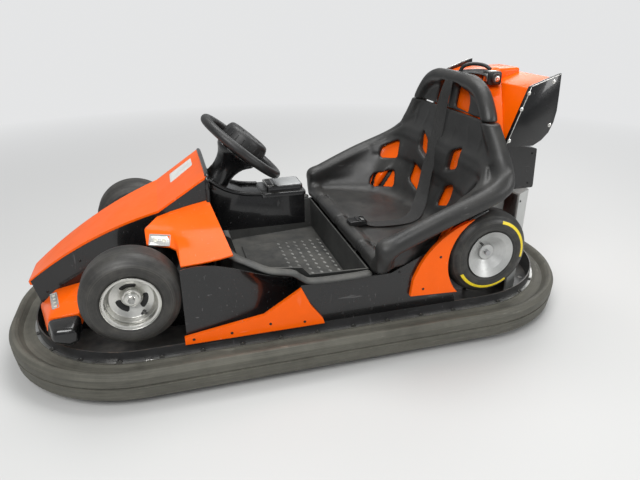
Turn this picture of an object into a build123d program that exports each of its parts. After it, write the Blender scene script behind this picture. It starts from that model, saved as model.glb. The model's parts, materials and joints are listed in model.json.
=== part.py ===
from build123d import *
from math import atan2, cos, degrees, hypot, radians, sin, sqrt
import os

os.makedirs("parts", exist_ok=True)

# Frame: X to the rear, Y to the car's right, Z up, in millimetres.
# The origin lies on the floor, below the middle of the bumper ring.

# Bumper ring
RING_LENGTH = 1870
RING_WIDTH = 880
RING_FRONT_RADIUS = 396
RING_REAR_RADIUS = 436
RING_BOTTOM_Z = 30
RING_HEIGHT = 82
RING_DEPTH = 78
RING_LIP_WIDTH = 26
RING_DECK_DROP = 18
RING_GROOVE_DEPTH = 4
RING_GROOVE_HEIGHT = 7

# Clearances and sheet thicknesses
SEAT_GAP = 0.3
STEEL_WALL = 4
PANEL_WALL = 4
TUB_WALL = 5

# Floor pan
PAN_Z = 66
SILL_Z = 131
FRAME_BOLT_RADIUS = 6.5
FRAME_BOLT_X = (80, 380)
FRAME_BOLT_Y = 105
STRIP_WIDTH = 12
STRIP_WALL = 2

# Show wheels
FRONT_AXLE_X = -551
REAR_AXLE_X = 507
AXLE_Z = 279
FRONT_TYRE_RADIUS = 132
FRONT_TYRE_WIDTH = 118
FRONT_WHEEL_FACE_Y = 368
REAR_TYRE_RADIUS = 136
REAR_TYRE_WIDTH = 98
REAR_WHEEL_FACE_Y = 367
RIM_SEAT_RADIUS = 65
RIM_FLANGE_RADIUS = 76
TYRE_BULGE = 8
AXLE_RADIUS = 15
STUB_RADIUS = 8.5
HUB_RADIUS = 24
RUNNING_FIT = 0.05

# Steered drive unit and the two carrying wheels
DRIVE_PIVOT_X = -460
DRIVE_WHEEL_RADIUS = 100
DRIVE_WHEEL_WIDTH = 56
DRIVE_AXLE_RADIUS = 10
DRIVE_MOTOR_RADIUS = 56
DRIVE_MOTOR_LENGTH = 66
FORK_CHEEK = 8
FORK_GAP = 6
TURRET_RADIUS = 134
TURRET_TOP_Z = 236
KINGPIN_RADIUS = 20
CARRIER_X = 592
CARRIER_Y = 150
CARRIER_RADIUS = 55
CARRIER_WIDTH = 36
CARRIER_AXLE_RADIUS = 8

# Steering
WHEEL_HUB_X = -192
WHEEL_HUB_Z = 582
STEERING_TILT = 41
STEERING_RIM_RADIUS = 136
STEERING_GRIP_RADIUS = 14
STEERING_PAD_RADIUS = 66
STEERING_PAD_DEPTH = 34
COLUMN_LENGTH = 150
COLUMN_RADIUS = 34
SHAFT_RADIUS = 12

# Nose
NOSE_TIP_X = -857
NOSE_TIP_Z = 236
NOSE_KINK_X = -462
NOSE_KINK_Z = 451
NOSE_REAR_X = -319
NOSE_REAR_Z = 544
NOSE_TIP_HALF_WIDTH = 60
NOSE_KINK_HALF_WIDTH = 154
NOSE_REAR_HALF_WIDTH = 162
NOSE_SKIN = 6

# Cockpit
FOOT_FLOOR_Z = 160
TUB_FRONT_X = -300
TUB_REAR_X = 118
TREAD_PLATE_HALF_WIDTH = 175
TREAD_Z = 164
TUB_LIP_FRONT_Z = 347
CONSOLE_HALF_WIDTH = 62
CONSOLE_TOP_Z = 440

# Seat
SEAT_FRONT_X = 125
SEAT_PAN_Z = 300
SEAT_PAN_WALL = 12
SEAT_WALL = 9
SEAT_BACK_WALL = 12
SEAT_EDGE_RADIUS = 25
SEAT_RECLINE = 7
SEAT_BACK_X = 504
SEAT_SHOULDER_Z = 505
SEAT_JOINT_Z = 662
HEADREST_TOP_Z = 783
HEADREST_WALL = 26
BOLSTER_HALF_WIDTH = 385
BOLSTER_FRONT_X = 146
BOLSTER_FRONT_Z = 376
BOLSTER_REAR_X = 530
BOLSTER_REAR_Z = 490
SEAT_JOINT_HALF_WIDTH = 240

# Rear body
COVER_TOP_Z = 820
WING_HALF_SPAN = 296
ENDPLATE_WALL = 14
REAR_BODY_X = 742
REAR_BODY_TOP_Z = 428


def slab_xz(face, y_low, y_high):
    """A slab whose outline is drawn in X and Z."""
    plane = Plane(origin=(0, y_high, 0), x_dir=(1, 0, 0), z_dir=(0, -1, 0))
    return extrude(plane * face, amount=y_high - y_low)


def slab_xy(face, z_low, z_high):
    """A slab whose outline is drawn in X and Y."""
    return extrude(Pos(0, 0, z_low) * face, amount=z_high - z_low)


def slab_yz(face, x_low, x_high):
    """A slab whose outline is drawn in Y and Z."""
    plane = Plane(origin=(x_low, 0, 0), x_dir=(0, 1, 0), z_dir=(1, 0, 0))
    return extrude(plane * face, amount=x_high - x_low)


def polygon(points):
    return make_face(Polyline(*points, close=True))


def rounded(points, radius):
    face = polygon(points)
    return fillet(face.vertices(), radius)


def rod_y(x, z, radius, y_low, y_high):
    """A round bar along Y."""
    plane = Plane(origin=(x, y_high, z), x_dir=(1, 0, 0), z_dir=(0, -1, 0))
    return extrude(plane * Circle(radius), amount=y_high - y_low)


def rod_z(x, y, radius, z_low, z_high):
    return extrude(Pos(x, y, z_low) * Circle(radius), amount=z_high - z_low)


def block(x_low, x_high, y_low, y_high, z_low, z_high):
    size = (x_high - x_low, y_high - y_low, z_high - z_low)
    middle = ((x_low + x_high) / 2, (y_low + y_high) / 2, (z_low + z_high) / 2)
    return Pos(*middle) * Box(*size)


def mirrored(shape):
    return mirror(shape, about=Plane.XZ)


def pair(shape):
    """A left-hand shape with its right-hand mirror image."""
    return Compound(children=[shape, mirrored(shape)])


def save(name, shape):
    export_step(shape, f"parts/{name}.step")


def plan_face(inset):
    """The bumper's outline in plan, moved inwards by an inset."""
    half_length = RING_LENGTH / 2 - inset
    half_width = RING_WIDTH / 2 - inset
    front = RING_FRONT_RADIUS - inset
    rear = RING_REAR_RADIUS - inset
    x_front = -half_length + front
    x_rear = half_length - rear
    y_front = half_width - front
    y_rear = half_width - rear
    edges = [
        Line((x_front, -half_width), (x_rear, -half_width)),
        CenterArc((x_rear, -y_rear), rear, -90, 90),
        Line((half_length, -y_rear), (half_length, y_rear)),
        CenterArc((x_rear, y_rear), rear, 0, 90),
        Line((x_rear, half_width), (x_front, half_width)),
        CenterArc((x_front, y_front), front, 90, 90),
        Line((-half_length, y_front), (-half_length, -y_front)),
        CenterArc((x_front, -y_front), front, 180, 90),
    ]
    return make_face(edges)


def ring_section():
    """The bumper's section: distance inwards from its outer face, and height."""
    top = RING_BOTTOM_Z + RING_HEIGHT
    deck = top - RING_DECK_DROP
    groove = RING_BOTTOM_Z + 0.45 * RING_HEIGHT
    face = polygon([
        (6, RING_BOTTOM_Z),
        (1.5, groove),
        (1.5 + RING_GROOVE_DEPTH, groove + 1),
        (1.5 + RING_GROOVE_DEPTH, groove + RING_GROOVE_HEIGHT - 1),
        (1, groove + RING_GROOVE_HEIGHT),
        (0, top - 16),
        (9, top),
        (RING_LIP_WIDTH - 8, top),
        (RING_LIP_WIDTH, top - 5),
        (RING_LIP_WIDTH + 12, deck),
        (RING_DEPTH - 16, deck - 1),
        (RING_DEPTH, deck + 4),
        (RING_DEPTH, RING_BOTTOM_Z + 12),
        (RING_DEPTH - 14, RING_BOTTOM_Z),
    ])
    rounded_corners = [v for v in face.vertices() if v.Y > top - 17 and v.X < RING_LIP_WIDTH + 1]
    return fillet(rounded_corners, 4)


def around_plan(section):
    """Carry a section (inset, height) round the bumper's outline."""
    half_length = RING_LENGTH / 2
    half_width = RING_WIDTH / 2
    corners = [
        (half_length - RING_REAR_RADIUS, -half_width + RING_REAR_RADIUS, RING_REAR_RADIUS, -90),
        (half_length - RING_REAR_RADIUS, half_width - RING_REAR_RADIUS, RING_REAR_RADIUS, 0),
        (-half_length + RING_FRONT_RADIUS, half_width - RING_FRONT_RADIUS, RING_FRONT_RADIUS, 90),
        (-half_length + RING_FRONT_RADIUS, -half_width + RING_FRONT_RADIUS, RING_FRONT_RADIUS, 180),
    ]
    pieces = []
    for index, (x, y, radius, start) in enumerate(corners):
        out = (cos(radians(start)), sin(radians(start)), 0)
        # Local X points inwards from the outer face, local Y points up.
        origin = (x + radius * out[0], y + radius * out[1], 0)
        plane = Plane(origin=origin, x_dir=(-out[0], -out[1], 0), z_dir=(-out[1], out[0], 0))
        pieces.append(revolve(plane * section, axis=Axis((x, y, 0), (0, 0, 1)), revolution_arc=90))
        before = corners[index - 1]
        before_end = radians(before[3] + 90)
        run_start = (before[0] + before[2] * cos(before_end), before[1] + before[2] * sin(before_end))
        run = hypot(origin[0] - run_start[0], origin[1] - run_start[1])
        pieces.append(extrude(plane * section, amount=-run))
    ring = pieces[0]
    for piece in pieces[1:]:
        ring = ring + piece
    return ring


def build_ring():
    save("bumper_ring", around_plan(ring_section()))
    deck = RING_BOTTOM_Z + RING_HEIGHT - RING_DECK_DROP + 4
    outer = RING_DEPTH - STRIP_WIDTH / 2
    inner = RING_DEPTH + SEAT_GAP
    strip = polygon([
        (outer, deck + SEAT_GAP),
        (outer, deck + SEAT_GAP + STRIP_WALL),
        (inner + STRIP_WALL, deck + SEAT_GAP + STRIP_WALL),
        (inner + STRIP_WALL, deck - 14),
        (inner, deck - 14),
        (inner, deck + SEAT_GAP),
    ])
    save("edge_strip", around_plan(strip))


PAN_INSET = RING_DEPTH + SEAT_GAP + STRIP_WALL


def carrier_slots():
    slots = []
    for side in (-1, 1):
        length = 2 * CARRIER_RADIUS + 16
        width = CARRIER_WIDTH + 24
        slots.append(Pos(CARRIER_X, side * CARRIER_Y) * Rectangle(length, width))
    return slots


def frame_bolt_holes(radius):
    holes = [rod_z(x, y, radius, 0, PAN_Z + 10) for x in FRAME_BOLT_X for y in (-FRAME_BOLT_Y, FRAME_BOLT_Y)]
    return holes[0] + holes[1] + holes[2] + holes[3]


def build_pan():
    """Floor pan with an upstand all round, a round turret for the drive unit, and two slots."""
    floor = plan_face(PAN_INSET) - Pos(DRIVE_PIVOT_X, 0) * Circle(TURRET_RADIUS)
    for slot in carrier_slots():
        floor = floor - slot
    pan = slab_xy(floor, PAN_Z - STEEL_WALL, PAN_Z)
    band = polygon([
        (PAN_INSET, RING_BOTTOM_Z + 10),
        (PAN_INSET, SILL_Z),
        (PAN_INSET + STEEL_WALL, SILL_Z),
        (PAN_INSET + STEEL_WALL, RING_BOTTOM_Z + 10),
    ])
    pan = pan + around_plan(band)
    save("floor_pan", pan - frame_bolt_holes(FRAME_BOLT_RADIUS + 0.5))

    turret = rod_z(DRIVE_PIVOT_X, 0, TURRET_RADIUS, PAN_Z - STEEL_WALL, TURRET_TOP_Z)
    turret = turret - rod_z(DRIVE_PIVOT_X, 0, TURRET_RADIUS - STEEL_WALL, 0, TURRET_TOP_Z - 2 * STEEL_WALL)
    collar = rod_z(DRIVE_PIVOT_X, 0, KINGPIN_RADIUS + 14, TURRET_TOP_Z, TURRET_TOP_Z + 20)
    turret = turret + collar
    turret = turret - rod_z(DRIVE_PIVOT_X, 0, KINGPIN_RADIUS + RUNNING_FIT, 0, TURRET_TOP_Z + 40)
    save("drive_turret", turret)

    # Under-floor rails and cross-members, as channels open downwards.
    # Columns: x_low, x_high, y_low, y_high.
    rails = [
        (-250, 700, -120, -90),
        (-250, 700, 90, 120),
    ]
    members = [
        (-240, -200, -340, 340),
        (60, 100, -340, 340),
        (360, 400, -340, 340),
        (664, 704, -260, 260),
    ]
    top = PAN_Z - STEEL_WALL
    frame = None
    for x_low, x_high, y_low, y_high in rails + members:
        bar = block(x_low, x_high, y_low, y_high, RING_BOTTOM_Z + 6, top)
        frame = bar if frame is None else frame + bar
    hollow = None
    for x_low, x_high, y_low, y_high in rails + members:
        core = block(x_low + 3, x_high - 3, y_low + 3, y_high - 3, 0, top - 3)
        hollow = core if hollow is None else hollow + core
    # Solid pads where rails and cross-members meet, drilled for the bolts of a cradle.
    frame = frame - hollow
    for x in FRAME_BOLT_X:
        for y in (-FRAME_BOLT_Y, FRAME_BOLT_Y):
            frame = frame + block(x - 20, x + 20, y - 15, y + 15, RING_BOTTOM_Z + 6, top)
    save("underframe", frame - frame_bolt_holes(FRAME_BOLT_RADIUS))


def build_drive_unit():
    wheel_face = DRIVE_WHEEL_WIDTH / 2
    cheek_in = wheel_face + FORK_GAP
    crown_z = TURRET_TOP_Z - 2 * STEEL_WALL - SEAT_GAP
    axle_z = DRIVE_WHEEL_RADIUS
    cheek_outline = polygon([
        (-34, axle_z - 6), (-26, axle_z - 26), (26, axle_z - 26), (34, axle_z - 6),
        (48, crown_z - 12), (48, crown_z), (-48, crown_z), (-48, crown_z - 12),
    ])
    fork = block(-48, 48, -cheek_in - FORK_CHEEK, cheek_in + FORK_CHEEK, crown_z - 12, crown_z)
    fork = fork + slab_xz(cheek_outline, cheek_in, cheek_in + FORK_CHEEK)
    fork = fork + slab_xz(cheek_outline, -cheek_in - FORK_CHEEK, -cheek_in)
    fork = fork - rod_y(0, axle_z, DRIVE_AXLE_RADIUS + 0.5, -100, 100)
    fork = fork + rod_z(0, 0, KINGPIN_RADIUS, crown_z - 6, TURRET_TOP_Z + 44)
    save("drive_fork", Pos(DRIVE_PIVOT_X, 0, 0) * fork)

    motor_in = cheek_in + FORK_CHEEK
    motor = rod_y(0, axle_z, DRIVE_MOTOR_RADIUS, motor_in, motor_in + DRIVE_MOTOR_LENGTH)
    motor = motor - rod_y(0, axle_z, DRIVE_AXLE_RADIUS + 0.5, motor_in - 1, motor_in + 16)
    save("drive_motor", Pos(DRIVE_PIVOT_X, 0, 0) * motor)

    axle = rod_y(0, axle_z, DRIVE_AXLE_RADIUS, -motor_in - 6, motor_in + 12)
    hub = rod_y(0, axle_z, 0.68 * DRIVE_WHEEL_RADIUS, -wheel_face + 4, wheel_face - 4)
    save("drive_wheel_hub", Pos(DRIVE_PIVOT_X, 0, 0) * (hub + axle))
    tyre = rod_y(0, axle_z, DRIVE_WHEEL_RADIUS, -wheel_face, wheel_face)
    tyre = fillet([e for e in tyre.edges().filter_by(GeomType.CIRCLE)], 8)
    tyre = tyre - rod_y(0, axle_z, 0.68 * DRIVE_WHEEL_RADIUS, -100, 100)
    save("drive_wheel_tyre", Pos(DRIVE_PIVOT_X, 0, 0) * tyre)


def build_carriers():
    cheek_in = CARRIER_WIDTH / 2 + 4
    cheek_out = cheek_in + 5
    brackets = []
    for side, hand in ((-1, "left"), (1, "right")):
        y = side * CARRIER_Y
        wheel = rod_y(CARRIER_X, CARRIER_RADIUS, CARRIER_RADIUS, y - CARRIER_WIDTH / 2, y + CARRIER_WIDTH / 2)
        wheel = fillet(wheel.edges().filter_by(GeomType.CIRCLE), 5)
        wheel = wheel - rod_y(CARRIER_X, CARRIER_RADIUS, CARRIER_AXLE_RADIUS + RUNNING_FIT, y - 50, y + 50)
        save(f"carrier_wheel_{hand}", wheel)
        outline = polygon([
            (CARRIER_X - 22, CARRIER_RADIUS - 16), (CARRIER_X + 22, CARRIER_RADIUS - 16),
            (CARRIER_X + 40, PAN_Z), (CARRIER_X + 40, PAN_Z + 64), (CARRIER_X - 40, PAN_Z + 64),
            (CARRIER_X - 40, PAN_Z),
        ])
        bracket = rod_y(CARRIER_X, CARRIER_RADIUS, CARRIER_AXLE_RADIUS, y - cheek_out, y + cheek_out)
        for low in (y - cheek_out, y + cheek_in):
            bracket = bracket + slab_xz(outline, low, low + 5)
        top = block(CARRIER_X - 40, CARRIER_X + 40, y - cheek_out, y + cheek_out, PAN_Z + 58, PAN_Z + 64)
        bracket = bracket + top
        foot = PAN_Z + SEAT_GAP
        for low, high in ((y - cheek_out - 22, y - cheek_in), (y + cheek_in, y + cheek_out + 22)):
            bracket = bracket + block(CARRIER_X - 40, CARRIER_X + 40, low, high, foot, foot + 5)
        brackets.append(bracket)
    save("carrier_brackets", Compound(children=brackets))


def tyre_section(radius, width, flange):
    """Half the tyre's wall in radius (X) and axial distance (Y) from the middle."""
    half = width / 2
    shoulder = radius - 16
    outer = [
        Line((RIM_SEAT_RADIUS, -half + 14), (RIM_SEAT_RADIUS + 6, -half + 8)),
        Line((RIM_SEAT_RADIUS + 6, -half + 8), (flange + 1, -half + 4.5)),
        ThreePointArc((flange + 1, -half + 4.5), (0.5 * (RIM_SEAT_RADIUS + radius), -half - 1),
                      (shoulder, -half + 9)),
        ThreePointArc((shoulder, -half + 9), (radius - 4, -half + 22), (radius, -half + 42)),
        Line((radius, -half + 42), (radius, half - 42)),
        ThreePointArc((radius, half - 42), (radius - 4, half - 22), (shoulder, half - 9)),
        ThreePointArc((shoulder, half - 9), (0.5 * (RIM_SEAT_RADIUS + radius), half + 1),
                      (flange + 1, half - 4.5)),
        Line((flange + 1, half - 4.5), (RIM_SEAT_RADIUS + 6, half - 8)),
        Line((RIM_SEAT_RADIUS + 6, half - 8), (RIM_SEAT_RADIUS, half - 14)),
        Line((RIM_SEAT_RADIUS, half - 14), (RIM_SEAT_RADIUS, -half + 14)),
    ]
    return make_face(outer)


def spin_y(face, x, y, z):
    """Turn a face (radius, axial distance) about a wheel axis along Y."""
    plane = Plane(origin=(x, y, z), x_dir=(1, 0, 0), z_dir=(0, 0, 1))
    return revolve(plane * face, axis=Axis((x, y, z), (0, 1, 0)), revolution_arc=360)


def build_show_wheels():
    # Columns: name, axle x, tyre radius, tyre width, outer face of the rim, depth of the dish.
    wheels = [
        ("front", FRONT_AXLE_X, FRONT_TYRE_RADIUS, FRONT_TYRE_WIDTH, FRONT_WHEEL_FACE_Y, 46),
        ("rear", REAR_AXLE_X, REAR_TYRE_RADIUS, REAR_TYRE_WIDTH, REAR_WHEEL_FACE_Y, 34),
    ]
    for name, x, radius, width, face_y, dish in wheels:
        middle = face_y - width / 2
        half = width / 2
        tyre = spin_y(tyre_section(radius, width, RIM_FLANGE_RADIUS), x, -middle, AXLE_Z)
        seat = RIM_SEAT_RADIUS - SEAT_GAP
        disc = -half + dish
        rim_face = make_face([
            Line((RIM_FLANGE_RADIUS, -half), (RIM_FLANGE_RADIUS, -half + 3)),
            Line((RIM_FLANGE_RADIUS, -half + 3), (seat + 3, -half + 5)),
            Line((seat + 3, -half + 5), (seat, -half + 12)),
            Line((seat, -half + 12), (seat, half - 12)),
            Line((seat, half - 12), (seat + 3, half - 5)),
            Line((seat + 3, half - 5), (RIM_FLANGE_RADIUS, half - 3)),
            Line((RIM_FLANGE_RADIUS, half - 3), (RIM_FLANGE_RADIUS, half)),
            Line((RIM_FLANGE_RADIUS, half), (seat - 4, half - 12)),
            Line((seat - 4, half - 12), (seat - 4, disc + 6)),
            Line((seat - 4, disc + 6), (HUB_RADIUS, disc + 6)),
            Line((HUB_RADIUS, disc + 6), (HUB_RADIUS, disc + 26)),
            Line((HUB_RADIUS, disc + 26), (STUB_RADIUS + RUNNING_FIT, disc + 26)),
            Line((STUB_RADIUS + RUNNING_FIT, disc + 26), (STUB_RADIUS + RUNNING_FIT, disc - 8)),
            Line((STUB_RADIUS + RUNNING_FIT, disc - 8), (HUB_RADIUS, disc - 8)),
            Line((HUB_RADIUS, disc - 8), (HUB_RADIUS, disc)),
            Line((HUB_RADIUS, disc), (seat - 8, disc - 14 if name == "front" else disc - 24)),
            Line((seat - 8, disc - 14 if name == "front" else disc - 24), (RIM_FLANGE_RADIUS, -half)),
        ])
        rim = spin_y(rim_face, x, -middle, AXLE_Z)
        save(f"{name}_tyre_left", tyre)
        save(f"{name}_tyre_right", mirrored(tyre))
        save(f"{name}_rim_left", rim)
        save(f"{name}_rim_right", mirrored(rim))


def build_axles():
    # Columns: name, axle x, reach of the stub, where the knuckle sits, y of the post.
    axles = [
        ("front", FRONT_AXLE_X, FRONT_WHEEL_FACE_Y - 46 + 18, 236, 180),
        ("rear", REAR_AXLE_X, REAR_WHEEL_FACE_Y - 34 + 18, 200, 190),
    ]
    for name, x, reach, knuckle, post in axles:
        axle = rod_y(x, AXLE_Z, AXLE_RADIUS, -knuckle, knuckle)
        axle = axle + rod_y(x, AXLE_Z, STUB_RADIUS, -reach, reach)
        for side in (-1, 1):
            y = side * post
            leg = polygon([(x - 40, PAN_Z + SEAT_GAP), (x + 40, PAN_Z + SEAT_GAP), (x + 20, AXLE_Z), (x - 20, AXLE_Z)])
            axle = axle + slab_xz(leg, y - 4, y + 4)
        save(f"{name}_axle", axle)


def nose_top_face(drop):
    """The nose's side profile under its top curve, lowered by a drop."""
    tip = (NOSE_TIP_X + drop, NOSE_TIP_Z)
    kink = (NOSE_KINK_X + 0.2 * drop, NOSE_KINK_Z - drop)
    rear = (NOSE_REAR_X, NOSE_REAR_Z - 1.2 * drop)
    middle = (-700 + 0.4 * drop, 346 - drop)
    return make_face([
        ThreePointArc(tip, middle, kink),
        Line(kink, rear),
        Line(rear, (NOSE_REAR_X, PAN_Z + SEAT_GAP)),
        Line((NOSE_REAR_X, PAN_Z + SEAT_GAP), (-790 + drop, PAN_Z + SEAT_GAP)),
        Line((-790 + drop, PAN_Z + SEAT_GAP), (-800 + drop, SILL_Z)),
        Line((-800 + drop, SILL_Z), (-841 + drop, 169)),
        Line((-841 + drop, 169), tip),
    ])


def nose_plan_face(inset):
    return polygon([
        (NOSE_TIP_X - 10 + inset, -NOSE_TIP_HALF_WIDTH + inset),
        (NOSE_KINK_X, -NOSE_KINK_HALF_WIDTH + inset),
        (NOSE_REAR_X, -NOSE_REAR_HALF_WIDTH + inset),
        (NOSE_REAR_X, NOSE_REAR_HALF_WIDTH - inset),
        (NOSE_KINK_X, NOSE_KINK_HALF_WIDTH - inset),
        (NOSE_TIP_X - 10 + inset, NOSE_TIP_HALF_WIDTH - inset),
    ])


def nose_form(drop, inset):
    """The nose as its side profile crossed with its plan."""
    side = slab_xz(nose_top_face(drop), -200, 200)
    plan = slab_xy(nose_plan_face(inset), 0, 700)
    return side & plan


def build_nose():
    outer = nose_form(0, 0)
    under_skin = nose_form(NOSE_SKIN, 0)
    top = (outer - slab_xz(nose_top_face(NOSE_SKIN), -300, 300)) & block(-900, 0, -200, 200, NOSE_TIP_Z - 12, 700)
    save("nose_top", top)
    body = nose_form(NOSE_SKIN + SEAT_GAP, 0)
    hollow = nose_form(NOSE_SKIN + SEAT_GAP + PANEL_WALL, PANEL_WALL)
    hollow = hollow + Pos(30, 0, 0) * (hollow & block(-420, 0, -200, 200, 0, 700))
    inside = slab_xy(nose_plan_face(PANEL_WALL), 0, SILL_Z) & block(-784, 0, -200, 200, 0, SILL_Z)
    body = body - hollow - inside
    body = body - rod_y(FRONT_AXLE_X, AXLE_Z, AXLE_RADIUS + 2, -200, 200)
    save("nose_body", body)


def nose_half_width(x):
    run = (x - NOSE_TIP_X + 10) / (NOSE_KINK_X - NOSE_TIP_X + 10)
    return NOSE_TIP_HALF_WIDTH + run * (NOSE_KINK_HALF_WIDTH - NOSE_TIP_HALF_WIDTH)


def build_front_wing():
    # Columns: x, z of the bottom edge, z of the top edge, half-width at the outer end.
    block_points = [(-822, 182), (-800, 232), (-706, 268), (-700, 190), (-770, 160)]
    wing = slab_xz(rounded(block_points, 6), -252, -40)
    wing = wing & slab_xy(polygon([
        (-840, -nose_half_width(-840) - SEAT_GAP), (-690, -nose_half_width(-690) - SEAT_GAP), (-690, -256), (-790, -256), (-840, -150),
    ]), 0, 400)
    save("front_wings", pair(wing))
    foot = slab_xz(rounded([(-786, 150), (-778, 226), (-694, 234), (-690, 152), (-720, 132)], 14), -322, -252.3)
    foot = fillet(foot.faces().sort_by(Axis.Y)[0].edges(), 10)
    save("front_wing_feet", pair(foot))


def cowl_section(points):
    """A bent panel's section: the outer line, and the same line moved inwards."""
    (y1, z1), (y2, z2), (y3, z3) = points
    t = PANEL_WALL
    return polygon([
        (-y1, z1), (-y2, z2), (-y3, z3),
        (-(y3 - t), z3), (-(y2 - t), z2 - t), (-y1, z1 - t),
    ])


def place_yz(face, x):
    return Plane(origin=(x, 0, 0), x_dir=(0, 1, 0), z_dir=(1, 0, 0)) * face


def build_front_cowls():
    # Columns: x, then (half-width, height) of the inner edge, the crease and the lower edge.
    stations = [
        (-497, (152, 440), (288, 455), (292, 412)),
        (-425, (157, 450), (290, 438), (300, 396)),
        (-415, (158, 452), (290, 436), (330, 354)),
        (-277, (166, 486), (292, 432), (326, 368)),
    ]
    cowl = None
    for (x0, *p0), (x1, *p1) in zip(stations, stations[1:]):
        part = loft([place_yz(cowl_section(p0), x0), place_yz(cowl_section(p1), x1)], ruled=True)
        cowl = part if cowl is None else cowl + part
    lamp = block(-488, -438, -299, -288, 406, 436)
    pocket = block(-488 - SEAT_GAP, -438 + SEAT_GAP, -320, -288 + SEAT_GAP, 406 - SEAT_GAP, 436 + SEAT_GAP)
    save("front_cowls", pair(cowl - pocket))
    save("cowl_lamps", pair(lamp))


def curved_wall(y_foot, z_foot, y_waist, z_waist, y_lip, z_lip, wall):
    """A side wall's section with a hollow waist, in Y and Z, on the left side."""
    return make_face([
        ThreePointArc((-y_foot, z_foot), (-y_waist, z_waist), (-y_lip, z_lip)),
        Line((-y_lip, z_lip), (-y_lip + wall, z_lip)),
        ThreePointArc((-y_lip + wall, z_lip), (-y_waist + wall, z_waist), (-y_foot + wall, z_foot)),
        Line((-y_foot + wall, z_foot), (-y_foot, z_foot)),
    ])


SIDE_FOOT_Y = 361


def build_sides():
    # Columns: x, then half-width and height of the waist and of the upper lip.
    pod_stations = [
        (-422, 350, 250, 352, 350),
        (-300, 336, 240, 345, 340),
        (-200, 322, 230, 350, 306),
        (-100, 312, 220, 362, 292),
    ]
    sections = []
    for x, y_waist, z_waist, y_lip, z_lip in pod_stations:
        section = curved_wall(SIDE_FOOT_Y, SILL_Z + SEAT_GAP, y_waist, z_waist, y_lip, z_lip, PANEL_WALL)
        sections.append(place_yz(section, x))
    save("side_pods", pair(loft(sections)))

    flash = slab_xz(polygon([(-428, 134), (-428, 156), (-206, 190), (-97, 258), (-70, 200), (-34, 150), (-30, 134)]), -374, -SIDE_FOOT_Y - SEAT_GAP)
    save("side_flashes", pair(flash))
    panel = polygon([
        (-97, SILL_Z + SEAT_GAP), (-97, 262), (178, 262), (330, 330), (420, 372),
        (372, 300), (372, 240), (400, SILL_Z + SEAT_GAP),
    ])
    clear_of_tyre = rod_y(REAR_AXLE_X, AXLE_Z, REAR_TYRE_RADIUS + 10, -500, 500)
    save("side_panels", pair(slab_xz(panel, -SIDE_FOOT_Y, -SIDE_FOOT_Y + PANEL_WALL) - clear_of_tyre))
    scoop_edges = [
        Line((240, 180), (246, 232)),
        ThreePointArc((246, 232), (318, 346), (432, 408)),
        ThreePointArc((432, 408), (AXLE_X_SCOOP, AXLE_Z), (398, 172)),
        Line((398, 172), (240, 180)),
    ]
    save("side_scoops", pair(slab_xz(make_face(scoop_edges), -374, -SIDE_FOOT_Y - SEAT_GAP) - clear_of_tyre))


SCOOP_ARC_RADIUS = 150
AXLE_X_SCOOP = REAR_AXLE_X - SCOOP_ARC_RADIUS


def tub_form(inset, z_low):
    """The footwell as a solid, tapering down to its floor."""
    # Columns: x at the lip, half-width at the lip, x at the floor, half-width at the floor.
    stations = [
        (TUB_FRONT_X, 200, TUB_FRONT_X + 6, 190),
        (-276, 300, -270, 240),
        (-180, 338, -178, 262),
        (-90, 348, -90, 272),
        (TUB_REAR_X, 352, TUB_REAR_X, 300),
    ]
    def outline(column, shrink):
        left = [(row[column], -row[column + 1] + shrink) for row in stations]
        left[0] = (left[0][0] + shrink, left[0][1])
        left[-1] = (left[-1][0] - shrink, left[-1][1])
        return polygon(left + [(x, -y) for x, y in reversed(left)])
    low = Pos(0, 0, z_low) * outline(2, inset)
    high = Pos(0, 0, TUB_LIP_FRONT_Z) * outline(0, inset)
    return loft([low, high], ruled=True)


def build_tub():
    shell = tub_form(0, FOOT_FLOOR_Z - TUB_WALL) - tub_form(TUB_WALL, FOOT_FLOOR_Z)
    above_lip = polygon([
        (-400, TUB_LIP_FRONT_Z + 1), (-276, TUB_LIP_FRONT_Z - 2), (-180, 311), (-85, 303), (-60, 272), (200, 272),
        (200, 500), (-400, 500),
    ])
    save("cockpit_tub", shell - slab_xz(above_lip, -500, 500))
    plate = block(-190, 104, -TREAD_PLATE_HALF_WIDTH, TREAD_PLATE_HALF_WIDTH, FOOT_FLOOR_Z + SEAT_GAP, TREAD_Z)
    save("tread_plate", plate)
    pedal_face = rounded([(-262, FOOT_FLOOR_Z + SEAT_GAP), (-216, FOOT_FLOOR_Z + SEAT_GAP), (-236, 236), (-256, 250)], 5)
    save("foot_pedals", pair(slab_xz(pedal_face, -170, -90)))
    # Rails that carry the footwell and the seat, standing on the floor pan.
    rail = None
    foot = PAN_Z + SEAT_GAP
    for x_low, x_high, z_high in ((-290, TUB_REAR_X + 2, FOOT_FLOOR_Z - TUB_WALL - SEAT_GAP),
                                  (172, 202, SEAT_PAN_Z - SEAT_PAN_WALL - SEAT_GAP),
                                  (380, 410, SEAT_PAN_Z - SEAT_PAN_WALL - SEAT_GAP),
                                  (TUB_REAR_X + 2, 440, foot + 30)):
        bar = block(x_low, x_high, -170, -140, foot, z_high)
        rail = bar if rail is None else rail + bar
    save("seat_frame", pair(rail))


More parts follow.
